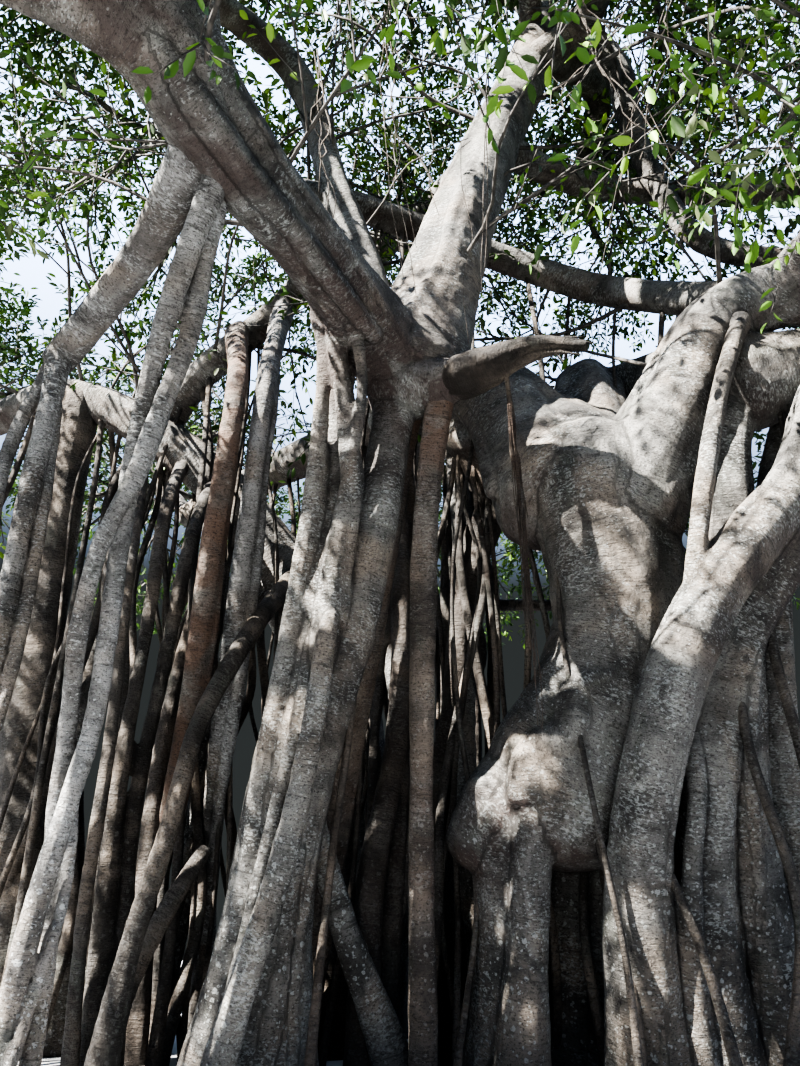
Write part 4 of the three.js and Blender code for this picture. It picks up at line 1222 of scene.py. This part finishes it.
# Open lines through the crown, each from one end to the other, and its radius: the pale bough and
# the bent limb show through them, and the sun gets in
CLEARINGS = (
    ((2.3, -3.0, 8.0), (2.75, -0.9, 10.7), 0.45),
    ((2.75, -2.6, 9.4), (3.25, -0.5, 12.2), 0.52),
    ((2.95, -2.2, 10.6), (3.5, -0.4, 13.4), 0.55),
    ((3.6, -2.0, 10.9), (4.3, -0.3, 13.6), 0.5),
    ((3.5, -3.2, 8.7), (4.85, 0.0, 13.2), 0.55),
    ((3.75, -3.2, 7.6), (5.1, 0.0, 11.3), 0.45),
    ((2.0, -0.7, 9.0), (-4.0, -4.2, 16.2), 0.75),
    ((2.6, -0.5, 10.6), (-3.4, -4.0, 17.8), 0.75),
    ((3.1, -0.3, 12.2), (-2.9, -3.8, 19.4), 0.75),
    ((1.2, -0.8, 5.6), (-5.4, -4.65, 13.5), 0.5),
)


def free(mass, points):
    """Which of the points lie in the mass's own space and clear of the wood."""
    own = np.linalg.norm((points - mass["centre"]) / mass["size"], axis=1)
    good = own < CROWN_LIMIT
    good &= np.all((points > BOX_LOW) & (points < BOX_HIGH), axis=1)
    for other in MASSES.values():
        if other is not mass and not mass.get("shared"):
            share = np.linalg.norm((points - other["centre"]) / other["size"], axis=1)
            good &= share > own * SPACE_MARGIN
    for start, end, radius in CLEARINGS:
        line = np.subtract(end, start)
        share = np.clip((points - start) @ line / (line @ line), 0, 1)
        good &= np.linalg.norm(points - start - share[:, None] * line, axis=1) > radius
    near = np.all(np.abs(WOOD_POINTS - mass["centre"]) < mass["size"] + NEAR_WOOD, axis=1)
    wood, radii = WOOD_POINTS[near], WOOD_RADII[near] + WOOD_MARGIN
    for start in range(0, len(points), BLOCK):
        block = points[start:start + BLOCK]
        gap = np.linalg.norm(block[:, None, :] - wood[None, :, :], axis=2) - radii[None, :]
        good[start:start + BLOCK] &= gap.min(axis=1, initial=1.0) > 0
    return good


def square_to(direction):
    """Two directions square to each of the given ones."""
    steep = np.abs(direction[:, 2:3]) > 0.9
    helper = np.where(steep, np.array([[1.0, 0, 0]]), np.array([[0, 0, 1.0]]))
    first = unit(np.cross(direction, helper))
    return first, np.cross(direction, first)


def bent(base, direction, length, bend, count):
    """Points along twigs that leave base and bend a little on their way."""
    t = np.linspace(0, 1, count)[None, :, None]
    reach = length[:, None, None] * t
    straight = base[:, None, :] + direction[:, None, :] * reach
    return straight + bend[:, None, :] * (length[:, None, None] * t**2)


def along_polyline(points, share):
    """The points, and directions, at a share of each polyline."""
    last = points.shape[1] - 1
    place = np.clip(share * last, 0, last - 1e-6)
    i = place.astype(int)
    rows = np.arange(len(points))
    a, b = points[rows, i], points[rows, i + 1]
    return a + (b - a) * (place - i)[:, None], unit(b - a)


def main_limbs(mass):
    """The stem and main twigs, by the rule of the solids, as strands."""
    draw = lcg(mass["seed"])
    shape = np.random.default_rng(mass["seed"])
    entry, centre, size = mass["entry"], mass["centre"], mass["size"]
    stem_end = centre + (0, 0, STEM_TOP * size[2])
    start = lerp(entry, stem_end, LIMB_START)
    middle = lerp(entry, stem_end, 0.5) + shape.uniform(-LIMB_STRAY, LIMB_STRAY, 3)
    limbs = [strand(*STEM_RADIUS, start, middle, stem_end, plain=True)]
    turn = draw() * 360
    for k in range(MAIN_TWIGS):
        share = k / (MAIN_TWIGS - 1)
        root = lerp(entry, stem_end, lerp(STEM_BARE, LAST_MAIN_TWIG, share))
        rise = lerp(*TWIG_RISE, share)
        flat = math.sqrt(1 - rise * rise)
        angle = math.radians(turn + GOLDEN_ANGLE * k)
        out = np.array([math.cos(angle) * flat, math.sin(angle) * flat, rise])
        wanted = centre + out * size * TWIG_REACH
        for t in REACHES:
            end = lerp(root, wanted, t)
            if free(mass, np.array([end, lerp(root, end, 0.6), lerp(root, end, 0.3)])).all():
                span = np.linalg.norm(end - root)
                sway = [shape.uniform(-LIMB_SWAY, LIMB_SWAY, 3) * span for _ in range(2)]
                path = [root, lerp(root, end, 0.35) + sway[0], lerp(root, end, 0.7) + sway[1], end]
                limbs.append(strand(*MAIN_TWIG_RADIUS, *path, plain=True))
                break
    return limbs


def nine_points(s):
    points = even_steps(centre_line(s), FINE_STEP)[0]
    return points[np.linspace(0, len(points) - 1, 9).astype(int)]


def finer_twigs(mass, limbs, chance, orders):
    """Each finer order of twigs as points and radii, the last one being the leafy shoots."""
    lines = np.stack([nine_points(s) for s in limbs])
    made = []
    for order in orders:
        count = order["count"]
        parent = np.repeat(np.arange(len(lines)), count)
        step = np.tile(np.arange(count), len(lines))
        share = (step + chance.uniform(-0.3, 0.3, len(step))) / (count - 1)
        share = lerp(order["first"], 1.0, share).clip(0.1, 1)
        base, tangent = along_polyline(lines[parent], share)
        first, second = square_to(tangent)
        angle = np.radians(GOLDEN_ANGLE * step + chance.uniform(0, 360, len(lines))[parent])
        side = first * np.cos(angle)[:, None] + second * np.sin(angle)[:, None]
        last = (step == count - 1)[:, None]
        outward = unit((base - mass["centre"]) / mass["size"])
        aside = np.where(last, TIP_ASIDE, order["aside"])
        direction = tangent * order["ahead"] + side * aside
        direction = direction + outward * order["outward"] + np.array([0, 0, order["up"]])
        direction = unit(direction + chance.normal(0, TWIG_STRAY, direction.shape))
        length = lerp(*order["length"], share) * chance.uniform(*TWIG_LENGTHS, len(step))
        bend = chance.normal(0, TWIG_BEND, direction.shape) + np.array([0, 0, TWIG_SAG])
        count = order.get("points", TWIG_POINTS)
        middle = count // 2
        points = bent(base, direction, length, bend, count)
        fits = free(mass, points[:, -1]) & free(mass, points[:, middle])
        for shorter in SHORTER:
            again = ~fits
            if again.any():
                less = length[again] * shorter
                trial = bent(base[again], direction[again], less, bend[again], count)
                good = free(mass, trial[:, -1]) & free(mass, trial[:, middle])
                where = np.flatnonzero(again)[good]
                points[where] = trial[good]
                fits[where] = True
        lines = points[fits]
        made.append((lines, order["radius"]))
    return made


def thin_tubes(lines, radius):
    """Three-sided twigs that end in a point: their vertices, and faces of four and three
    corners."""
    n, count, _ = lines.shape
    tangent = unit(lines[:, -1] - lines[:, 0])
    first, second = square_to(tangent)
    thickness = np.linspace(radius[0], radius[1], count)
    points = np.empty((n, (count - 1) * 3 + 1, 3))
    for i in range(count - 1):
        for k in range(3):
            angle = 2 * math.pi * k / 3
            out = first * math.cos(angle) + second * math.sin(angle)
            points[:, i * 3 + k] = lines[:, i] + thickness[i] * out
    points[:, -1] = lines[:, -1]
    quads, ends = [], []
    for k in range(3):
        after = (k + 1) % 3
        for i in range(count - 2):
            quads.append((i * 3 + k, i * 3 + 3 + k, i * 3 + 3 + after, i * 3 + after))
        ring = (count - 2) * 3
        ends.append((ring + k, (count - 1) * 3, ring + after))
    offset = (np.arange(n) * points.shape[1])[:, None, None]
    quads, ends = np.array(quads) + offset, np.array(ends) + offset
    return points.reshape(-1, 3), quads.reshape(-1, 4), ends.reshape(-1, 3)


def leaves_on(lines, chance, per_spray, size):
    """Corners of the leaves of a spray on each leafy shoot, and each leaf's tone."""
    n = len(lines)
    shoot = np.repeat(np.arange(n), per_spray)
    step = np.tile(np.arange(per_spray), n)
    share = FIRST_LEAF + (1 - FIRST_LEAF) * (step / (per_spray - 1)) ** LEAF_CROWDING
    base, axis = along_polyline(lines[shoot], share)
    first, second = square_to(axis)
    angle = np.radians(GOLDEN_ANGLE * step + chance.uniform(0, 360, n)[shoot])
    side = first * np.cos(angle)[:, None] + second * np.sin(angle)[:, None]
    opening = lerp(*LEAF_OPENING, share) + chance.normal(0, LEAF_OPENING_STRAY, len(step))
    opening = np.radians(opening)[:, None]
    direction = axis * np.cos(opening) + side * np.sin(opening)
    stray = chance.normal(0, LEAF_STRAY, direction.shape)
    direction = unit(direction + np.array([0, 0, LEAF_SAG]) + stray)
    roll = chance.normal(0, LEAF_ROLL, direction.shape)
    up = np.array([0, 0, 1.0]) + roll + axis * LEAF_ALONG
    across = unit(np.cross(direction, up))
    face = np.cross(across, direction)
    length = chance.uniform(*size, len(step)) * lerp(1.0, TIP_LEAF, share)
    base = base + direction * LEAF_STALK
    corners = np.empty((len(step), 6, 3))
    for i, (x, y) in enumerate(LEAF_OUTLINE):
        width = LEAF_WIDTH * y
        lift = abs(width) * LEAF_FOLD - LEAF_DROOP * x * x
        corners[:, i] = base + length[:, None] * (direction * x + across * width + face * lift)
    shares = np.array([share for _, share in LEAF_TONES_WITH_PAINTED_LIGHT])
    tones = chance.choice(len(LEAF_TONES_WITH_PAINTED_LIGHT), n, p=shares / shares.sum())
    return corners.reshape(-1, 3), tones[shoot]


def leaf_faces(count):
    halves = np.array([(0, 1, 2, 3), (0, 3, 4, 5)])
    return (halves[None] + (np.arange(count) * 6)[:, None, None]).reshape(-1, 4)


def finish_piece(piece, slot, materials, *nodes):
    for material in materials:
        piece.data.materials.append(material)
    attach(piece, "root")
    if nodes:
        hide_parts(*nodes)


def grow(name, mass, limbs, orders, twig, tones, *nodes, spray=LEAVES_PER_SPRAY, size=LEAF_LENGTH):
    """Twigs of every order on the limbs, in one piece, and the leaves of their sprays in
    another."""
    chance = np.random.default_rng(mass["seed"] * 7 + len(name))
    lines_made = finer_twigs(mass, limbs, chance, orders)
    points, quads, *_ = skin(limbs, LIMB_SIDES, LIMB_STEP)
    parts, fours, threes = [points], [quads], []
    total = len(points)
    for lines, radius in lines_made:
        p, q, e = thin_tubes(lines, radius)
        parts.append(p)
        fours.append(q + total)
        threes.append(e + total)
        total += len(p)
    twigs = mesh_from_arrays(f"{name}_twigs", np.vstack(parts), np.vstack(fours), np.vstack(threes))
    finish_piece(twigs, "bark", [twig])
    corners, tone = leaves_on(lines_made[-1][0], chance, spray, size)
    faces, tone = leaf_faces(len(tone)), np.repeat(tone, 2)
    leaves = mesh_from_arrays(f"{name}_leaves", corners, faces, tones=tone)
    finish_piece(leaves, "foliage", tones, *nodes)


# Slender branches that leave the boughs between the masses: how many, and on which stretch
SIDE_BRANCHES = {
    "bough_up": (16, (0.1, 0.9)),
    "bough_up_left": (10, (0.12, 0.9)),
    "bough_left": (5, (0.3, 0.6)),
    "bough_right": (8, (0.3, 0.9)),
    "bough_right_hub": (5, (0.3, 0.9)),
    "bough_up_low": (12, (0.2, 0.95)),
    "bough_up_front": (5, (0.2, 0.9)),
    "bough_up_side": (5, (0.2, 0.9)),
    "bough_up_right": (5, (0.2, 0.9)),
    "bough_up_back": (5, (0.2, 0.9)),
    "bough_back": (6, (0.3, 0.85)),
    "bough_back_left": (7, (0.3, 0.85)),
    "bough_far_left": (10, (0.25, 0.85)),
    "bough_front": (5, (0.2, 0.9)),
    "bough_front_right": (5, (0.2, 0.9)),
    "bough_left_side": (6, (0.5, 0.9)),
    "bridge_right": (14, (0.08, 0.9)),
    "bridge_left": (6, (0.1, 0.9)),
}
SIDE_LENGTH = (1.8, 3.9)
SIDE_WIDTH = 0.009  # radius at the start, as a share of the length
SIDE_SPRAY = 5
SIDE_ORDERS = (
    dict(count=5, first=0.25, length=(1.5, 0.9), ahead=0.8, aside=0.75, outward=0.1, up=0.1,
         radius=(0.016, 0.008)),
    dict(count=4, first=0.3, length=(0.8, 0.5), ahead=0.8, aside=0.7, outward=0.0, up=0.1,
         radius=(0.008, 0.0035)),
)
UNDER_CROWN = dict(
    centre=np.array([*CROWN_CENTRE, 10.5]), size=np.array([11.5, 11.5, 9.0]), seed=301, shared=True)


def side_branches():
    draw = random.Random(17)
    strands = []
    for bough, (count, (first, last)) in SIDE_BRANCHES.items():
        curve, _ = even_steps(centre_line(WOOD[bough][0]), BOUGH_STEP)
        for i in range(count):
            at = round(lerp(first, last, (i + draw.random()) / count) * (len(curve) - 1))
            ahead = unit(curve[min(at + 4, len(curve) - 1)] - curve[at - 4])
            out = np.array([draw.gauss(0, 1), draw.gauss(0, 1), draw.gauss(0.35, 0.7)])
            out -= ahead * out.dot(ahead)
            direction = unit(unit(out) + ahead * draw.uniform(0.1, 0.8))
            length = draw.uniform(*SIDE_LENGTH)
            path = [curve[at]]
            for share in (0.3, 0.65, 1):
                stray = np.array([draw.gauss(0, 0.09) for _ in range(3)]) * length * share
                path.append(curve[at] + direction * length * share + stray)
            width = SIDE_WIDTH * length
            strands.append(strand(width, width * 0.3, *path, plain=True))
    return strands


# Slender branches that hang in front of the fork, from the front boughs, with long leafy shoots
FRONT_BRANCHES = (
    shaped((6.1, -2.3, 8.2, 0.04), (5.0, -3.3, 8.25, 0.024), (3.7, -4.1, 7.85, 0.016),
           (2.6, -4.6, 7.5, 0.008)),
    shaped((6.0, -2.0, 8.1, 0.03), (5.3, -2.9, 7.9, 0.022), (4.7, -3.8, 7.3, 0.015),
           (4.2, -4.4, 6.8, 0.008)),
    shaped((-0.2, -4.1, 8.3, 0.03), (0.7, -4.4, 8.7, 0.02), (1.5, -4.5, 8.5, 0.014),
           (2.3, -4.4, 8.0, 0.008)),
    shaped((3.3, -0.3, 12.0, 0.035), (4.4, -1.8, 11.2, 0.026), (5.0, -3.0, 10.0, 0.018),
           (4.9, -3.6, 8.9, 0.01)),
    shaped((5.2, -1.0, 8.0, 0.03), (4.7, -2.2, 8.3, 0.022), (4.0, -3.0, 8.0, 0.016),
           (3.4, -3.4, 7.4, 0.008)),
)
FRONT_ORDERS = (
    dict(count=7, first=0.25, length=(1.3, 0.9), ahead=0.3, aside=0.45, outward=0.0, up=-0.7,
         radius=(0.009, 0.0045)),
    dict(count=4, first=0.3, length=(0.5, 0.35), ahead=0.7, aside=0.8, outward=0.0, up=-0.05,
         radius=(0.0045, 0.0025)),
)
FRONT_SPRAY = 4
FRONT_LEAF = (0.15, 0.245)


def grow_crown(twig, tones):
    for name, mass in MASSES.items():
        grow(f"foliage_{name}", mass, main_limbs(mass), ORDERS, twig, tones, f"foliage_{name}")
    grow("side_branch", UNDER_CROWN, side_branches(), SIDE_ORDERS, twig, tones, spray=SIDE_SPRAY)
    front = dict(UNDER_CROWN, seed=302)
    grow("front_branch", front, FRONT_BRANCHES, FRONT_ORDERS, twig, tones,
         spray=FRONT_SPRAY, size=FRONT_LEAF)


# Thin lianas of the crown: the top, the bottom, and how many
LIANAS = (
    ((2.1, -2.6, 11.4), (2.3, -1.6, 6.6), 1),
    ((4.5, -3.0, 10.8), (3.4, -2.4, 7.0), 3),
    ((5.5, -2.2, 10.8), (4.9, -1.6, 7.6), 3),
    ((3.2, -3.2, 10.0), (4.2, -2.6, 7.3), 3),
    ((1.2, -2.4, 10.8), (1.4, -1.4, 7.4), 2),
    ((0.4, -1.5, 11.4), (0.8, -1.2, 7.6), 3),
    ((6.2, -2.8, 8.6), (5.2, -2.4, 5.6), 2),
    ((4.8, -2.2, 12.4), (2.9, -2.6, 8.4), 3),
    ((1.0, -2.6, 12.2), (1.9, -1.9, 7.6), 2),
    ((0.2, -2.8, 11.6), (2.4, -2.6, 9.2), 2),
    ((6.4, -2.2, 11.6), (4.4, -2.8, 8.0), 3),
)
LIANA = (0.22, 0.009)  # spread of a bundle, and radius
LIANA_YOUNG = 0.3
FIRST_LIANA_SEED = 70
THIN_ROOT_MESH = (9, 0.14)  # sides, and the step between rings
FINE_ROOT_MESH = (5, 0.16)

# Other bundles of thin roots that hang free: the top, the bottom, how many, spread, radius, seed
# and how young
FINE_ROOTS = (
    ((2.55, -1.55, 6.4), (2.7, -1.2, 2.8), 16, 0.04, 0.006, 61, 0.85),
    ((2.55, -1.55, 6.4), (2.72, -1.2, 4.4), 5, 0.035, 0.011, 62, 0.85),
    ((2.5, -2.0, 10.7), (2.3, -1.6, 6.6), 2, 0.04, 0.012, 64, 0.4),
    ((2.55, -1.6, 6.5), (2.8, -1.3, 3.4), 1, 0.1, 0.032, 65, 0.1),
)


def build_wood(barks):
    for name, piece in bark_pieces().items():
        slot = piece.get("slot", "bark")
        nodes = piece.get("nodes", [g for g in piece["groups"] if g in WOOD])
        made = fused(name, group(*piece["groups"]) + piece.get("more", []), piece["voxel"])
        finish_piece(made, slot, [barks[piece.get("look", slot)]], *nodes)
    fine = [s for bundle in FINE_ROOTS for s in hanging(*bundle)]
    for seed, (top, bottom, count) in enumerate(LIANAS, FIRST_LIANA_SEED):
        fine += hanging(top, bottom, count, *LIANA, seed, LIANA_YOUNG)
    thin = tubes("thin_aerial_roots", dropped_roots(), *THIN_ROOT_MESH)
    fine = tubes("fine_hanging_roots", fine, *FINE_ROOT_MESH)
    # The thin and fine roots take the aerial roots' colours darkened as painted shade
    for roots in (thin, fine):
        finish_piece(roots, "aerial_root", [barks["shaded_root"]])


# The stage: a floor under the tree, a backdrop that is dim near the floor and bright above, and a
# low sun through the crown
FLOOR_SIZE = 27
FLOOR_PLACE = (2.5, 0.3, 0)
FLOOR_COLOUR = (0.32, 0.325, 0.33)
SKY_RISE = (0.32, 0.7)  # heights of the direction between which the backdrop brightens
HORIZON_COLOUR = (0.05, 0.056, 0.056)
SKY_COLOUR = (2.25, 3.0, 4.4)
SUN_ENERGY = 60.0
SUN_WIDTH = 0.6  # degrees
SUN_COLOUR = (1.0, 0.955, 0.88)
SUN_FROM = (-0.72, -0.42, 0.86)


def add_stage():
    bpy.ops.mesh.primitive_plane_add(size=FLOOR_SIZE, location=FLOOR_PLACE)
    floor = bpy.context.object
    floor.name = "floor"
    paint = material_nodes("floor_paint").finish(Base_Color=FLOOR_COLOUR, Roughness=0.9)
    floor.data.materials.append(paint)

    world = bpy.data.worlds.new("studio")
    bpy.context.scene.world = world
    n = Nodes(world, "Background")
    rise = n.vertical(n.add("ShaderNodeTexCoord").outputs["Generated"])
    n.finish(Color=n.mix(n.steps(rise, *SKY_RISE), HORIZON_COLOUR, SKY_COLOUR), Strength=1.0)

    sun = bpy.data.objects.new("key", bpy.data.lights.new("key", "SUN"))
    sun.data.energy = SUN_ENERGY
    sun.data.angle = math.radians(SUN_WIDTH)
    sun.data.color = SUN_COLOUR
    sun.rotation_euler = Vector(SUN_FROM).to_track_quat("Z", "Y").to_euler()
    bpy.context.scene.collection.objects.link(sun)


def add_camera():
    camera = bpy.data.objects.new("camera", bpy.data.cameras.new("camera"))
    camera.data.sensor_width = SENSOR
    camera.data.lens = SENSOR * FOCAL_PIXELS / FRAME_HEIGHT
    camera.data.clip_end = CAMERA_REACH
    camera.location = CAMERA_PLACE
    camera.rotation_euler = (math.radians(90 + CAMERA_PITCH), 0, 0)
    bpy.context.scene.collection.objects.link(camera)
    bpy.context.scene.camera = camera
    bpy.context.scene.view_settings.look = VIEW_LOOK


build_wood({name: bark_material(name, *look) for name, look in BARKS.items()})
grow_crown(twig_material(), leaf_materials())
add_stage()
add_camera()
